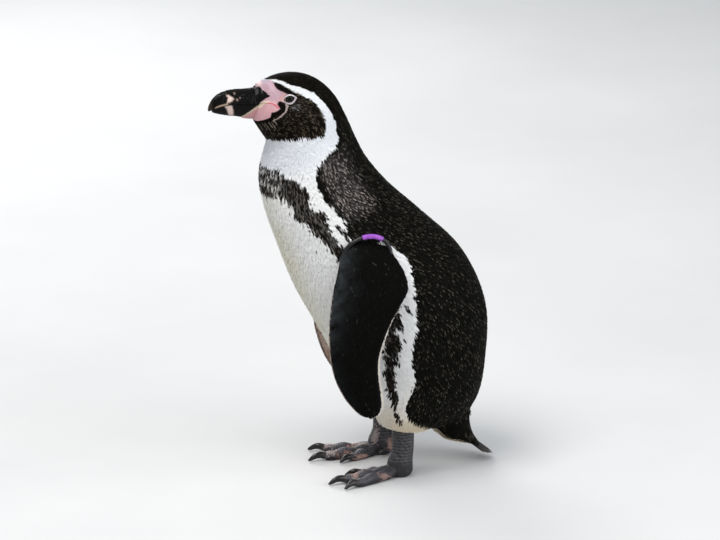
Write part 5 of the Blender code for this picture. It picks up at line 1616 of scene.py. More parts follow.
def leg_coat(side):
    point = leg_point(side)
    probe = basis(point, np.array([0.5]), np.array([90.0 if side == "l" else 270.0]), 0.005, 0.8)[3][0]
    flip = 1.0 if probe[0] * (1 if side == "l" else -1) > 0 else -1.0

    def at(u, deg):
        return basis(point, np.clip(u, 0.006, 0.985), deg, 0.005, 0.8, flip)
    a, b = scatter(at, (0.02, 0.93), lambda t: np.full(np.shape(t), 2.3), lambda t: 2.0, 31 if side == "l" else 32)
    rng = np.random.default_rng(SEED + (41 if side == "l" else 42))
    n = len(a)
    length = np.interp(a, [0, 0.7, 1], [10.0, 8.0, 6.0]) * rng.uniform(0.85, 1.2, n)
    p = at(a, b)[0]
    seen = p - np.array([0, 0, 1.0]) * (length * 0.7)[:, None]
    t, d, inner = leg_place(seen, side)
    root, edge, tip, lift, silky, _, tip_from = body_colours(t, d, p, rng)
    # the flank stripe runs on down to the hem
    q = seen * np.array([1.0 if side == "l" else -1.0, 1.0, 1.0])
    stripe = polygon_distance(q @ SIDE_R, q @ SIDE_U, STRIPE) + 1.2 * noise3(np.column_stack([q @ SIDE_R / 2.5, q @ SIDE_U / 7.0, np.zeros(n)]), 2.1, 53)
    on = (stripe + rng.normal(0, 0.5, n) > 0) & (inner < 0.5) & silky
    root[on] *= 0.3
    edge[on] = tip[on] = BAND_C * rng.uniform(0.4, 1.2, (on.sum(), 1))
    silky &= ~on
    # painted shade: the white turns beige and darker towards the hem
    low = np.clip(0.75 * (1 - smooth(48, 60, seen[:, 2] + 5 * noise3(p, 14, 51))), 0, 1) * silky
    root, edge, tip = lerp(root, LOW_SHADE_C, low), lerp(edge, LOW_SHADE_C, low), lerp(tip, LOW_SHADE_C * 1.05, low)
    batches = []
    bake = np.column_stack([np.mod(b, 360) / 360 * 0.996 + 0.002, a * 0.98 + 0.01])
    for silk in (True, False):
        m = silky == silk
        if not m.any():
            continue
        centres, normals = flow(at, a[m], b[m], length[m], rng.normal(0, 0.08, m.sum()), U_SILK if silk else U_VANE, np.full(m.sum(), 1.9),
                                rng.uniform(0.0, 0.25, m.sum()), 1.0, (0.01, 0.985))
        batches.append(vane_arrays(centres, normals, length[m] * (0.30 if silk else 0.22), length[m], root[m], edge[m], tip[m], bake[m], silk, rng, tip_from[m]))
    return coat_piece(f"coat_thigh_{side}", batches, feather_mat)


# ================================================================= tail
TAIL_LENGTH, TAIL_DROP = 62.0, 38.0


def tail_line(u):
    """Middle line of the tail from its root, and its slope, seen from the side."""
    root = ROWS[0]
    start = np.array([(root[0] + root[2]) / 2, (root[1] + root[3]) / 2])
    drop0, drop1 = math.radians(62), math.radians(TAIL_DROP)
    steps = np.linspace(0, 1, 101)
    ang = drop0 + (drop1 - drop0) * smooth(0, 0.45, steps)
    y = start[0] + np.concatenate([[0], np.cumsum(np.cos(ang[1:]) * TAIL_LENGTH / 100)])
    z = start[1] - np.concatenate([[0], np.cumsum(np.sin(ang[1:]) * TAIL_LENGTH / 100)])
    over = np.maximum(0, u - 1) * TAIL_LENGTH
    a = np.interp(u, steps, ang)
    return np.interp(u, steps, y) + over * np.cos(a), np.interp(u, steps, z) - over * np.sin(a), a


def tail_point(u, deg):
    u, deg = np.broadcast_arrays(np.asarray(u, float), np.asarray(deg, float))
    u, deg = np.clip(u.ravel(), 0, 1), np.radians(deg.ravel())
    y, z, a = tail_line(u)
    wide = (19.0 + 4.5 * smooth(0, 0.6, u)) * np.sqrt(np.maximum(0.0, 1 - (np.maximum(0.0, u - 0.3) / 0.715) ** 3.4))
    thick = 23.8 * (1 - smooth(0, 0.62, u)) + 4.6 * smooth(0, 0.62, u) + (1.3 - 4.6) * smooth(0.4, 1, u)
    root = ROWS[0]
    half = np.array([(root[0] - root[2]) / 2, (root[1] - root[3]) / 2])
    half /= np.linalg.norm(half)
    blend = smooth(0, 0.25, u)[:, None]
    direction = half * (1 - blend) + np.column_stack([-np.sin(a), -np.cos(a)]) * blend
    direction /= np.linalg.norm(direction, axis=1)[:, None]
    return np.column_stack([wide * np.sin(deg), y + direction[:, 0] * thick * np.cos(deg), z + direction[:, 1] * thick * np.cos(deg)])


def skin_tail():
    rows, cols = 30, 48
    U, D = [g.ravel() for g in np.meshgrid(np.linspace(0, 0.62, rows), np.arange(cols) * 360.0 / cols, indexing="ij")]
    p = tail_point(U, D).reshape(rows, cols, 3)
    centre = p.mean(axis=1, keepdims=True)
    shrink = (0.86 - 0.45 * smooth(0.35, 0.62, U)).reshape(rows, cols, 1)
    p = centre + (p - centre) * shrink
    # it starts inside the rump
    p[0] += np.array([0, -3.0, 6.0])
    return lofted("skin_tail", p, np.tile(BLACK_C * 1.4, (rows * cols, 1)))


def tail_quills():
    """Stiff tail feathers, fanned and lapped like slates, the middle pair on top."""
    rng = np.random.default_rng(SEED + 51)
    rings_all, colours_all, order = [], [], []
    count = 17
    for i in range(count):
        s = (i - (count - 1) / 2) / ((count - 1) / 2)
        length = 1.02 - 0.20 * s * s + rng.uniform(-0.03, 0.02)
        rows, cols = 26, 12
        grid = []
        tones = []
        for r in range(rows):
            v = r / (rows - 1)
            u = 0.14 + (length - 0.14) * v
            y, z, a = [float(q) for q in tail_line(np.array(u))]
            across = s * (9.0 + 12.5 * math.sqrt(v)) * (1 - 0.10 * v)
            along = np.array([0, math.cos(a), -math.sin(a)])
            up = np.array([0, math.sin(a), math.cos(a)])
            centre = np.array([across, y, z]) + up * (0.2 + 1.6 * (1 - abs(s)) - 1.4 * s * s + 0.5 * (i % 2) - 1.2 * v)
            half = 3.6 * (0.45 + 0.55 * float(smooth(0, 0.3, v))) * math.sqrt(max(0.02, 1 - max(0.0, (v - 0.80) / 0.205) ** 2.2))
            ang = np.arange(cols) * 2 * math.pi / cols
            x = np.cos(ang) * half
            thick = 0.16 + 0.38 * np.exp(-(x / 0.55) ** 2) * (1 - 0.6 * v)
            h = np.sin(ang) * thick - 0.05 * x * x * 0.5
            tilt = 0.28 * s
            grid.append(centre + np.outer(x * math.cos(tilt), [1.0, 0, 0]) + np.outer(h + x * -math.sin(tilt), up))
            tone = np.tile(np.array([0.020, 0.018, 0.018]), (cols, 1)) * (1 + 0.25 * math.sin(v * 60 + i))
            worn = smooth(0.80, 1.0, v) * 0.55 + 0.30 * (np.abs(x) > half * 0.8)
            tone = lerp(tone, np.array([0.105, 0.088, 0.075]), np.clip(worn, 0, 1))
            tone = lerp(tone, np.array([0.07, 0.065, 0.065]), 0.7 * np.exp(-(x / 0.5) ** 2))
            tones.append(tone)
        rings_all.append(np.array(grid))
        colours_all.append(np.vstack(tones))
    pts, faces4, faces3, tint, start, uvs, vane = [], [], [], [], 0, [], []
    for i, (g, c) in enumerate(zip(rings_all, colours_all)):
        n, m = g.shape[:2]
        pts.append(np.vstack([g.reshape(-1, 3), g[0].mean(0), g[-1].mean(0)]))
        faces4.append(grid_faces(n, m) + start)
        j = np.arange(m)
        k = (j + 1) % m
        faces3.append(np.vstack([np.stack([k, j, np.full(m, n * m)], axis=1), np.stack([(n - 1) * m + j, (n - 1) * m + k, np.full(m, n * m + 1)], axis=1)]) + start)
        tint.append(np.vstack([c, c[:1], c[-1:]]))
        start += n * m + 2
        r = np.concatenate([np.repeat(np.arange(n), m), [0, n - 1]]) / (n - 1)
        x = np.concatenate([np.tile(np.cos(np.arange(m) * 2 * math.pi / m), n), [0, 0]])
        low = np.concatenate([np.tile(np.sin(np.arange(m) * 2 * math.pi / m) < -0.01, n), [0, 0]])
        uvs.append(np.column_stack([(i + 0.5 + 0.40 * x) / count, 0.02 + 0.46 * r + 0.5 * low]))
        vane.append(np.column_stack([x, r * 15.0]))
    ob = make("tail_vanes", np.vstack(pts), [np.vstack(faces4), np.vstack(faces3)], np.vstack(tint),
              {"OFBake": np.vstack(uvs), "Vane": np.vstack(vane)}, feather_mat)
    return outward(ob)


def tail_coverts():
    """The coverts go on from the rump's feathers in the same rows: black above, and below the root a white turned beige
    and darker by painted shade.
    """
    a, b = scatter(coat_basis, (-1.30, 0.03), lambda t: np.full(np.shape(t), 2.3), lambda t: 2.0, 61)
    rng = np.random.default_rng(SEED + 62)
    n = len(a)
    d = fold(b)
    u = -a * TAIL_STATION
    length = np.interp(u, [0, 0.25, 0.55], [14.0, 12.5, 10.5]) * rng.uniform(0.85, 1.15, n)
    edge = 31 + 20 * smooth(0.0, 0.22, u)
    under = 1 - smooth(-5, 5, d - edge + 5 * rng.normal(0, 1, n))
    # painted shade: below the root the white coverts turn beige and darker
    c = lerp(np.tile(BLACK_C * 1.2, (n, 1)), LOW_SHADE_C * rng.uniform(0.9, 1.12, (n, 1)), under * (1 - smooth(0.26, 0.46, u + 0.04 * rng.normal(0, 1, n))))
    tip = c * rng.uniform(0.8, 1.2, (n, 1))
    fleck = (under < 0.3) & (rng.random(n) < 0.26)
    tip[fleck] = np.array([0.070, 0.062, 0.049]) * rng.uniform(0.4, 1.5, (fleck.sum(), 1))
    tip_from = np.where(fleck, rng.uniform(0.70, 0.80, n), 0.5)
    centres, normals = flow(coat_basis, a, b, length, rng.normal(0, 0.08, n), U_VANE, 2.2 * (1 - 0.7 * u), rng.uniform(-0.1, 0.25, n), -1.0, (-2.25, LAST))
    bake = np.column_stack([np.mod(b, 360) / 360 * 0.996 + 0.002, (a + 1.36) / 1.45])
    return coat_piece("coat_tail", [vane_arrays(centres, normals, length * 0.22, length, c * 0.95, c * 0.95, tip, bake, False, rng, tip_from)], feather_mat)


# ================================================================= claws
def claw_rings(base, direction, length, radius, drop, points=22, steps=26):
    direction = direction / np.linalg.norm(direction)
    side = np.cross(direction, (0, 0, 1.0))
    side /= np.linalg.norm(side)
    rings = []
    ang = np.arange(points) * 2 * math.pi / points
    for k in range(steps + 1):
        u = k / steps
        centre = base + direction * length * u + np.array([0, 0, 1.0]) * (0.09 * length * math.sin(math.pi * min(1, u * 1.15)) - drop * u ** 2.1)
        r = radius * (1 - u) ** 0.52 * (1 + 0.10 * math.sin(math.pi * u)) + 0.5 * math.sqrt(max(0.0, 1 - max(0.0, (u - 0.93) / 0.07) ** 2)) + 0.02
        tilt = 0.7 * u
        up = np.array([0, 0, 1.0]) * math.cos(tilt) + direction * math.sin(tilt)
        up /= np.linalg.norm(up)
        # the underside is flatter, with a shallow groove
        s = np.sin(ang)
        low = np.where(s < 0, 0.86, 1.0) * (1 + 0.10 * np.exp(-((ang - 1.5 * math.pi) / 0.25) ** 2) * -1.0)
        rings.append(centre + r * (0.86 * np.outer(np.cos(ang), side) + 1.05 * np.outer(s * low, up)))
    first = rings[0]
    rings.insert(0, first.mean(axis=0) + (first - first.mean(axis=0)) * 0.9 - direction * 2.0)
    return np.array(rings)


def build_claws():
    made = []
    for side, (x, y) in LEG.items():
        items = []
        for toe in TOE_LENGTH:
            _, forward = toe_frame(side, toe)
            path, radii = toe_path(side, toe)
            direction = np.array([forward[0], forward[1], 0.0])
            base = path[-1] + direction * 0.6
            base[2] = path[-1][2] + 0.2
            items.append((toe, base, direction, CLAW_LENGTH[toe], radii[-1] * 0.86, base[2] - 1.9))
        inward = -1 if side == "l" else 1
        base = np.array([x + inward * 13.0, y + 0.5, 9.0])
        direction = np.array([inward * 3.0, -3.5, -1.5])
        direction /= np.linalg.norm(direction)
        items.append(("hind", base + direction * 1.5, direction, 8.0, 1.9, 1.6))
        for toe, base, direction, length, radius, drop in items:
            rings = claw_rings(base, direction, length, radius, drop)
            rings[..., 2] = np.maximum(rings[..., 2], 0.0)
            n = len(rings)
            u = np.repeat(np.linspace(0, 1, n), rings.shape[1])
            c = np.tile(np.array([0.016, 0.014, 0.014]), (len(u), 1))
            c = lerp(c, np.array([0.075, 0.062, 0.055]), np.exp(-(u / 0.10) ** 2) * 0.8)
            c = lerp(c, np.array([0.05, 0.043, 0.038]), smooth(0.8, 1.0, u) * 0.6)
            ob = lofted(f"talon_{side}_{toe}", rings, c, claw_mat)
            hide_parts(f"claw_{side}_{toe}")
            made.append(ob)
    return made


# ================================================================= bill
BILL_ROWS = np.array([
    (-112.0, 429.0, 413.2, 395.5, 11.6), (-120.0, 428.6, 413.6, 396.6, 10.9), (-130.0, 428.7, 414.2, 398.2, 9.6), (-140.0, 429.3, 414.9, 400.4, 8.3),
    (-150.0, 428.7, 414.9, 402.6, 7.2), (-157.0, 426.6, 414.0, 404.4, 6.3), (-162.0, 423.8, 412.6, 406.0, 5.2), (-166.0, 419.6, 410.6, 407.4, 3.9),
    (-168.6, 415.2, 409.4, 408.4, 2.3)])


def bill_rows(y):
    return hermite(-BILL_ROWS[:, 0], BILL_ROWS, -np.atleast_1d(y))


def bill_place(p):
    p = np.array(p, float)
    fade = 1 - smooth(0, 30, -112.0 - p[:, 1])
    p[:, 1] -= 0.1974 * (433.5 - p[:, 2]) * fade
    return yawed(p, 1.0)


def groove(x, at, wide, deep):
    return -deep * np.exp(-((x - at) / wide) ** 2)


BAND_UPPER = np.array([(-150.5, 0.72), (-148.0, 0.66), (-144.6, 0.50), (-143.8, 0.40), (-146.0, 0.26), (-148.5, 0.18), (-151.5, 0.16), (-150.0, 0.36), (-149.5, 0.55)])
BAND_LOWER = np.array([(-153.0, 0.06), (-146.5, 0.08), (-144.2, 0.45), (-143.2, 0.84), (-147.6, 0.94), (-149.5, 0.60)])


def bill_colours(y, s, upper, p):
    c = np.tile(np.array([0.0025, 0.0023, 0.0021]), (len(y), 1))
    c = lerp(c, np.array([0.011, 0.0100, 0.0094]), np.clip(0.35 * noise3(p, 5.5, 91), 0, 1))
    pale = np.array([0.72, 0.56, 0.50])
    scale = np.array([1.0, 14.0])
    if upper:
        # painted sheen: a lighter line along the ridge of the bill
        c = lerp(c, np.array([0.010, 0.0090, 0.0086]), 0.7 * np.exp(-((s - 1.0) / 0.16) ** 2) * smooth(-118, -124, y))
        inside = polygon_distance(y, s * 14.0, BAND_UPPER * scale) + 0.5 * noise3(p, 3.0, 92)
        c = lerp(c, pale, smooth(-1.3, 1.1, inside) * 0.9)
        edge = (1 - smooth(0.08, 0.17, s)) * smooth(-149, -151, y) * (1 - smooth(-162, -165, y))
        c = lerp(c, np.array([0.42, 0.31, 0.23]), edge * 0.85)
        for at, h, size in ((-140.0, 0.32, 1.1), (-142.0, 0.77, 0.9), (-136.5, 0.46, 0.7)):
            c = lerp(c, np.array([0.36, 0.27, 0.22]), np.exp(-((y - at) / size) ** 2 - ((s - h) * 14 / size) ** 2) * 0.8)
        tip = smooth(-164.5, -168.5, y)
        c = lerp(c, np.array([0.050, 0.033, 0.024]), tip * 0.65)
        base = smooth(-120, -112.5, y)
        c = lerp(c, np.array([0.007, 0.0064, 0.0062]), base * 0.6)
    else:
        inside = polygon_distance(y, s * 14.0, BAND_LOWER * scale) + 0.5 * noise3(p, 3.0, 93)
        c = lerp(c, pale, smooth(-1.5, 1.3, inside) * 0.85)
        # cream stripe that runs down and back from the mouth, with pink behind it
        line = -111.0 - 22.0 * s
        ahead = y - line
        c = lerp(c, np.array([0.53, 0.275, 0.285]), smooth(0.6, 2.4, ahead) * 0.95)
        c = lerp(c, np.array([0.60, 0.51, 0.37]), np.exp(-((ahead - 0.2) / 1.5) ** 2) * 0.95)
        c = lerp(c, np.array([0.16, 0.12, 0.10]), 0.6 * (1 - smooth(0.0, 0.07, s)) * smooth(-140, -150, y))
    return c


def build_bill():
    made = []
    # upper half: the outer face from the left edge over the ridge to the right, then the palate
    rows, outer, inner = 190, 81, 9
    ys = np.linspace(-111.4, -168.8, rows)
    ys = np.concatenate([[-106.5, -109.0], ys])
    R = bill_rows(np.maximum(ys, -168.8))
    R[:2] = bill_rows([-112.0, -112.0])
    ang = np.linspace(0, math.pi, outer)
    s = np.sin(ang)
    rings, tones = [], []
    for i, y in enumerate(ys):
        _, top, mouth, under, width = R[i]
        h = s ** 0.82
        x = width * np.cos(ang) * (0.80 + 0.20 * (1 - s))
        z = mouth + 0.15 + (top - mouth) * h
        yy = np.full(outer, y)
        # surface detail, along the outward direction of the section
        nx, nz = np.cos(ang) / np.maximum(width, 1) , np.sin(ang) / np.maximum(top - mouth, 1) + 1e-3
        nn = np.hypot(nx, nz)
        nx, nz = nx / nn, nz / nn
        p3 = np.column_stack([x, yy, z])
        body_part = float(smooth(-112.5, -117, y) * (1 - smooth(-158, -164, y)))
        d = groove(h, 0.60 + 0.0030 * (y + 130), 0.035, 0.34) * body_part * float(1 - smooth(-146, -153, y))
        slot = math.exp(-((y + 128.5) / 3.6) ** 4)
        d += groove(h, 0.645, 0.05, 0.75) * slot
        # border of the hooked nail
        nail = -151.0 - 6.0 * (1 - h)
        d += groove(yy, nail, 0.55, 0.30) * (1 - smooth(0.93, 1.0, h) * 0.4)
        base = float(smooth(-136, -116, y))
        d += 0.07 * base * np.sin((yy + 3.0 * h) * 2.6 + 3.0 * noise3(p3, 9, 94)) * smooth(0.05, 0.25, h)
        d += 0.10 * noise3(p3, 5, 95) + 0.06 * noise3(p3, 2.0, 96) + 0.04 * noise3(p3, 1.1, 97)
        d += 0.22 * np.exp(-((h - 0.05) / 0.06) ** 2)
        d *= 1 - 0.6 * float(smooth(-164, -168, y))
        x, z = x + nx * d, z + nz * d
        px_ = width * np.linspace(-0.92, 0.92, inner + 2)[1:-1]
        pz = mouth + 0.15 + 0.9 * np.sqrt(np.maximum(0, 1 - (px_ / (width * 0.95)) ** 2))
        ring = np.column_stack([np.concatenate([x, px_]), np.full(outer + inner, y), np.concatenate([z, pz])])
        rings.append(bill_place(ring))
        hh = np.concatenate([h, np.zeros(inner)])
        tones.append(bill_colours(np.full(outer + inner, min(y, -111.5)), hh, True, ring))
    last = rings[-1]
    centre = last.mean(axis=0)
    tip_c = tones[-1]
    for k in range(1, 9):
        w = k / 8
        g = centre + np.array([0.0, -0.9 * w, -2.6 * w]) + (last - centre) * (1 - 0.55 * w ** 1.4) * math.sqrt(max(0.03, 1 - 0.93 * w ** 6))
        rings.append(g)
        tones.append(tip_c)
    ob = lofted("bill_top", np.array(rings), np.vstack(tones), horn_mat)
    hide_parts("bill_upper")
    made.append(ob)
    # lower half
    rows = 160
    ys = np.concatenate([[-106.5, -109.0], np.linspace(-111.4, -164.6, rows)])
    R = bill_rows(ys)
    R[:2] = bill_rows([-112.0, -112.0])
    rings, tones = [], []
    for i, y in enumerate(ys):
        _, top, mouth, under, width = R[i]
        width *= 0.93
        h = s ** 0.8
        x = width * np.cos(ang) * (0.70 + 0.30 * (1 - s) ** 0.8)
        z = mouth - 0.15 - (mouth - under) * h
        yy = np.full(outer, y)
        nx, nz = np.cos(ang) / np.maximum(width, 1), -(np.sin(ang) / np.maximum(mouth - under, 1) + 1e-3)
        nn = np.hypot(nx, nz)
        nx, nz = nx / nn, nz / nn
        p3 = np.column_stack([x, yy, z])
        d = groove(yy, -143.0 - 2.5 * (1 - h), 0.6, 0.28)
        d += groove(yy, -112.3 - 22.0 * h, 0.7, 0.22)
        d += 0.09 * noise3(p3, 5, 98) + 0.06 * noise3(p3, 2.0, 99) + 0.04 * noise3(p3, 1.1, 100)
        keel = np.exp(-((h - 1.0) / 0.05) ** 2) * float(smooth(-126, -134, y))
        d += -0.35 * keel * float(1 - smooth(-140, -146, y))
        x, z = x + nx * d, z + nz * d
        px_ = width * np.linspace(-0.92, 0.92, inner + 2)[1:-1]
        pz = np.full(inner, mouth - 0.15 - 0.25)
        ring = np.column_stack([np.concatenate([x, px_]), np.full(outer + inner, y), np.concatenate([z, pz])])
        rings.append(bill_place(ring))
        hh = np.concatenate([h, np.zeros(inner)])
        tones.append(bill_colours(np.full(outer + inner, min(y, -111.5)), hh, False, ring))
    last = rings[-1]
    centre = last.mean(axis=0)
    for k in range(1, 7):
        w = k / 6
        rings.append(centre + np.array([0.0, -0.7 * w, 0.35 * w]) + (last - centre) * math.sqrt(max(0.02, 1 - w ** 2.2)))
        tones.append(tones[-1])
    ob = lofted("bill_bottom", np.array(rings), np.vstack(tones), horn_mat)
    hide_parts("bill_lower")
    made.append(ob)
    # the corner of horn that runs back onto each cheek from the base of the upper half
    for side, sign in (("l", 1), ("r", -1)):
        back_rows, front_rows, cols = 34, 16, 26
        v = np.linspace(0, 1, back_rows)
        t = 15.98 + (14.93 - 15.98) * v
        top = np.interp(v, [0, 0.076, 0.238, 0.43, 0.64, 0.88, 1], [158, 147, 138.4, 128.7, 121.3, 117.5, 115.9])
        low = np.interp(v, [0, 0.03, 0.23, 0.41, 0.61, 0.82, 1], [92.5, 95.0, 100.9, 105.9, 108.5, 110.9, 115.3])
        w = np.linspace(0, 1, cols)
        T = np.repeat(t, cols)
        D = (low[:, None] + (top - low)[:, None] * w[None]).ravel()
        _, _, _, n = body_basis(T, D * sign)
        face = formed(T, D * sign).reshape(back_rows, cols, 3)
        n = n.reshape(back_rows, cols, 3)
        # on over the base of the bill
        rim = unyawed(face[0])
        y_end = -119.5
        _, crest, mouth, _, width = bill_rows([y_end])[0]
        h = np.clip((rim[:, 2] - mouth) / (crest - mouth), 0.03, 0.97)
        sn = h ** (1 / 0.82)
        bill = np.column_stack([sign * width * np.sqrt(np.maximum(0, 1 - sn * sn)) * (0.80 + 0.20 * (1 - sn)), np.full(cols, y_end), mouth + 0.15 + (crest - mouth) * h])
        bill = bill_place(bill)
        f = np.linspace(1, 0, front_rows + 1)[:-1]
        ahead = face[0][None] + (bill - face[0])[None] * f[:, None, None]
        grid = np.concatenate([ahead, face])
        normals = np.concatenate([np.repeat(n[:1], front_rows, axis=0), n])
        rows = front_rows + back_rows
        height = np.concatenate([0.42 - 0.85 * smooth(0.35, 1.0, f), np.full(back_rows, 0.42)])
        span = np.concatenate([np.full(front_rows, (top - low)[0]), top - low])
        to_tip = np.concatenate([np.full(front_rows, 13.0), (1 - v) * 13.0])
        edge = np.minimum(np.minimum(w, 1 - w)[None] * span[:, None] * 0.33, to_tip[:, None])
        flat = grid.reshape(-1, 3)
        h = height[:, None] - 0.75 * (1 - smooth(0, 1.5, edge)) + (0.10 * noise3(flat, 3, 101) + 0.06 * noise3(flat, 1.4, 102)).reshape(rows, cols)
        upper_s = (grid + normals * h[..., None]).reshape(-1, 3)
        lower_s = (grid - normals * 1.1).reshape(-1, 3)
        pts = np.vstack([upper_s, lower_s])
        g = grid_faces(rows, cols, closed=False)
        g2 = g[:, ::-1] + rows * cols
        border = np.concatenate([np.arange(cols), (np.arange(1, rows) * cols + cols - 1), ((rows - 1) * cols + np.arange(cols - 2, -1, -1)), (np.arange(rows - 2, 0, -1) * cols)])
        nxt = np.roll(border, -1)
        walls = np.stack([border, border + rows * cols, nxt + rows * cols, nxt], axis=1)
        c = np.tile(np.array([0.0026, 0.0024, 0.0022]), (len(pts), 1))
        c = lerp(c, np.array([0.010, 0.0092, 0.0086]), np.clip(0.35 * noise3(pts, 5.5, 91), 0, 1))
        ob = outward(make(f"bill_corner_{side}", pts, [g, g2, walls], c, None, horn_mat))
        made.append(ob)
    return made


# ================================================================= flipper band
BAND_RADIUS = 2.1
BAND_CENTRE = (-13.5, 257.0)
BAND_WIDE, BAND_TALL, BAND_LIFT = 26.0, 21.5, 2.1


def even(points, count):
    closed = np.vstack([points, points[:1]])
    along = np.concatenate([[0], np.cumsum(np.linalg.norm(np.diff(closed, axis=0), axis=1))])
    at = np.linspace(0, along[-1], count, endpoint=False)
    return np.column_stack([np.interp(at, along, closed[:, i]) for i in range(3)])


def band_points(count=26):
    T, D = [g.ravel() for g in np.meshgrid(np.linspace(3.0, 8.0, 260), np.linspace(3, 177, 350), indexing="ij")]
    p = body(T, D)
    tree = KDTree(len(p))
    for i, q in enumerate(p):
        tree.insert((0.0, q[1], q[2]), i)
    tree.balance()
    out = []
    for k in range(count):
        a = 2 * math.pi * k / count
        y = BAND_CENTRE[0] + BAND_WIDE * math.sin(a)
        z = BAND_CENTRE[1] + BAND_TALL * math.cos(a) + 0.10 * (y - BAND_CENTRE[0])
        _, i, _ = tree.find((0.0, y, z))
        out.append((p[i, 0] + BAND_LIFT, y, z))
    pts = np.array(out)
    for _ in range(2):
        pts = (np.roll(pts, 1, axis=0) + pts * 2 + np.roll(pts, -1, axis=0)) / 4
    return even(pts, count)


def build_band():
    base = band_points()
    count = len(base)
    top = int(np.argmax(base[:, 2] + 0.35 * base[:, 1]))
    fine = 8
    # a closed smooth curve through the same points
    wrap = np.vstack([base[-3:], base, base[:3]])
    dense = hermite(np.arange(len(wrap)), wrap, np.arange(3, 3 + count, 1 / fine))
    first, last = (top - 2) % count, (top + 3) % count
    i0, i1 = first * fine - 6, last * fine - 15
    total = count * fine
    sleeve = [(i0 + k) % total for k in range(((i1 - i0) % total) + 1)]
    plain = [(i1 - 2 + k) % total for k in range(((i0 - i1) % total) + 5)]
    tube_path = dense[plain]
    # it goes on a little inside the sleeve
    r = np.full(len(tube_path), BAND_RADIUS)
    k = np.arange(len(r))
    low = np.argmin(np.hypot(tube_path[:, 1] + 37.0, tube_path[:, 2] - 246.0))
    r = r + 0.45 * np.exp(-((k - low) / 6.0) ** 2)
    a = tube_path
    def ends(path, radii):
        d0 = path[0] - path[1]
        d0 /= np.linalg.norm(d0)
        d1 = path[-1] - path[-2]
        d1 /= np.linalg.norm(d1)
        path = np.vstack([path[0] + d0 * 0.5, path, path[-1] + d1 * 0.5])
        return path, np.concatenate([[radii[0] * 0.72], radii, [radii[-1] * 0.72]])
    p, rr = ends(tube_path, r)
    tube_ob = lofted("flipper_ring_tube", tube_rings(p, rr, 28, reference=(1.0, 0, 0)), None, tube_mat)
    p, rr = ends(dense[sleeve], np.full(len(sleeve), BAND_RADIUS + 0.5))
    sleeve_ob = lofted("flipper_ring_sleeve", tube_rings(p, rr, 32, reference=(1.0, 0, 0)), None, sleeve_mat)
    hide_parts("band_tube")
    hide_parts("band_sleeve")
    return [tube_ob, sleeve_ob]


# ================================================================= put it together
feather_mat = feather_material("body_feather", 0.56, 0.03, 0.0, 0.30)
flipper_mat = feather_material("flipper_feather", 0.50, 0.02, 0.0, 0.30)
skin_mat = skin_material()
lid_mat = horn_material("lid_skin", (0.5, 0.7), 300.0, 0.3)
horn_mat = horn_material("bill_horn_gloss", (0.13, 0.30), 160.0, 0.085)
claw_mat = horn_material("claw_gloss", (0.12, 0.26), 220.0, 0.3)
tube_mat = plastic_material("black_tube", (0.0045, 0.0045, 0.0055), (0.013, 0.013, 0.015), 0.26)
sleeve_mat = plastic_material("purple_sleeve", (0.33, 0.095, 0.50), (0.20, 0.045, 0.33), 0.30)
eye_mat = eye_material()

FLANK = flank_places()
import time
clock = time.time()


def lap(what):
    global clock
    print(f"{what}: {time.time() - clock:.1f} s")
    clock = time.time()


trunk = skin_body()
p = points_of(trunk)
p = p + normals_of(trunk) * eye_pits(p, None)[:, None]
set_points(trunk, p)
others = [skin_flipper("l"), skin_flipper("r"), skin_leg("l"), skin_leg("r"), skin_tail()]
feet = [foot_body("l"), foot_body("r")]
lap("skin parts")
sources, tones = [], []
for ob in [trunk] + others + feet:
    sources.append(points_of(ob))
    c = np.empty(len(ob.data.vertices) * 4, np.float32)
    ob.data.color_attributes["tint"].data.foreach_get("color", c)
    c = c.reshape(-1, 4).astype(float)
    c[:, 3] = 1.0 if ob in feet else 0.0
    tones.append(c)
sources, tones = np.vstack(sources), np.vstack(tones)
tree = KDTree(len(sources))
for i, q in enumerate(sources):
    tree.insert(q, i)
tree.balance()
lap("colour tree")
skin = union(trunk, others + feet)
lap("unions")
final = points_of(skin)
pick = np.array([tree.find(q)[1] for q in final])
set_tint(skin, tones[pick])
skin.data.materials.clear()
skin.data.materials.append(skin_mat)
skin.name = "skin"
for poly in skin.data.polygons:
    poly.material_index = 0
    poly.use_smooth = True
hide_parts("belly", "breast", "neck", "head", "tail", "leg_l", "leg_r", "flipper_l", "flipper_r", "foot_l", "foot_r")
lap("skin")
print("skin faces", len(skin.data.polygons))

skin_tree = BVHTree.FromObject(skin, bpy.context.evaluated_depsgraph_get())
pieces = [skin]
for side in "lr":
    ball, lid = build_eye(side, skin_tree)
    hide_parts(f"eye_{side}")
    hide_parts(f"lid_{side}")
    pieces += [ball, lid]
lap("eyes")
coat = body_coat()
pieces += coat
lap("body coat")
for side in "lr":
    ob = flipper_coat(side)
    pieces.append(ob)
    ob = leg_coat(side)
    pieces.append(ob)
for ob in (tail_quills(), tail_coverts()):
    pieces.append(ob)
pieces += build_claws() + build_bill() + build_band()
lap("rest")
for ob in pieces:
    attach(ob, "root")
total = sum(len(poly.vertices) - 2 for ob in pieces for poly in ob.data.polygons)
print("triangles in all", total)

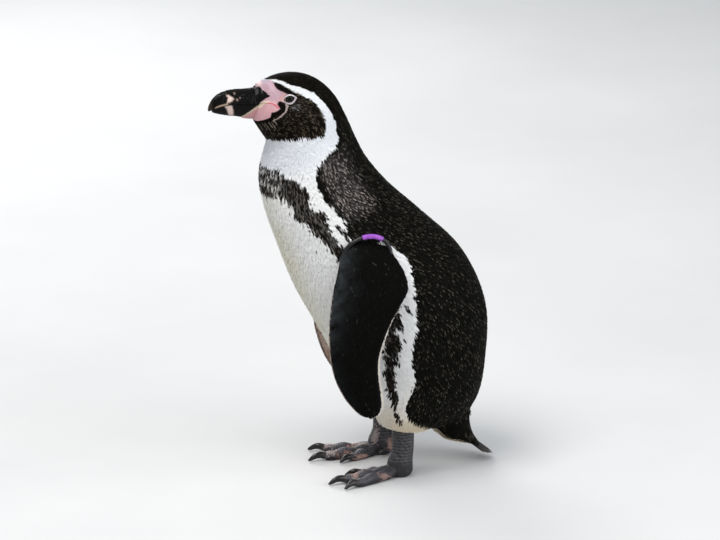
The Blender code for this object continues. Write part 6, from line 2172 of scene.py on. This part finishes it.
# ================================================================= setting
floor_mat, nodes, links, shader = new_material("floor_paper")
soft = noise_node(nodes, links, 3.0, 3.0)
links.new(ramp(nodes, links, soft, [(0.3, (0.56, 0.56, 0.56)), (0.7, (0.60, 0.60, 0.595))]), shader.inputs["Base Color"])
set_inputs(shader, Roughness=0.85, Specular_IOR_Level=0.2)
me = bpy.data.meshes.new("floor")
s = 6.0
me.from_pydata([(-s, -s, 0), (s, -s, 0), (s, s, 0), (-s, s, 0)], [], [(0, 1, 2, 3)])
me.materials.append(floor_mat)
floor = bpy.data.objects.new("floor", me)
bpy.context.scene.collection.objects.link(floor)

world = bpy.data.worlds.new("studio")
bpy.context.scene.world = world
world.use_nodes = True
world.node_tree.nodes["Background"].inputs["Color"].default_value = (0.86, 0.90, 0.95, 1)
world.node_tree.nodes["Background"].inputs["Strength"].default_value = 0.60

AZ, EL, DISTANCE = math.radians(75.0), math.radians(16.5), 6.0
back = Vector((math.sin(AZ) * math.cos(EL), -math.cos(AZ) * math.cos(EL), math.sin(EL)))
up = Vector((-math.sin(EL) * math.sin(AZ), math.sin(EL) * math.cos(AZ), math.cos(EL)))
right = Vector((math.cos(AZ), math.sin(AZ), 0))
aim = up * 0.20996 + Vector((SHIFT[0], SHIFT[1], 0)) * MM


def area_light(name, where, size, power, colour):
    light = bpy.data.lights.new(name, "AREA")
    light.size, light.energy, light.color = size, power, colour
    ob = bpy.data.objects.new(name, light)
    ob.location = where
    ob.rotation_euler = (Vector((0, 0, 0.22)) - Vector(where)).to_track_quat("-Z", "Y").to_euler()
    bpy.context.scene.collection.objects.link(ob)
    return ob


area_light("key", aim + back * 1.6 + up * 1.9 - right * 0.7, 1.3, 57, (1.0, 0.985, 0.96))
area_light("fill", aim + back * 1.2 + up * 0.4 + right * 2.0, 1.8, 36, (0.93, 0.96, 1.0))
area_light("rim", aim - back * 1.5 + up * 1.5 - right * 0.8, 1.2, 26, (1.0, 1.0, 1.0))

camera = bpy.data.cameras.new("camera")
camera.sensor_width, camera.lens = 36.0, 281.25
camera.clip_end = 50
cam = bpy.data.objects.new("camera", camera)
cam.matrix_world = Matrix.Translation(aim + back * DISTANCE) @ Matrix((right, up, back)).transposed().to_4x4()
bpy.context.scene.collection.objects.link(cam)
bpy.context.scene.camera = cam
bpy.context.scene.view_settings.view_transform = "Standard"
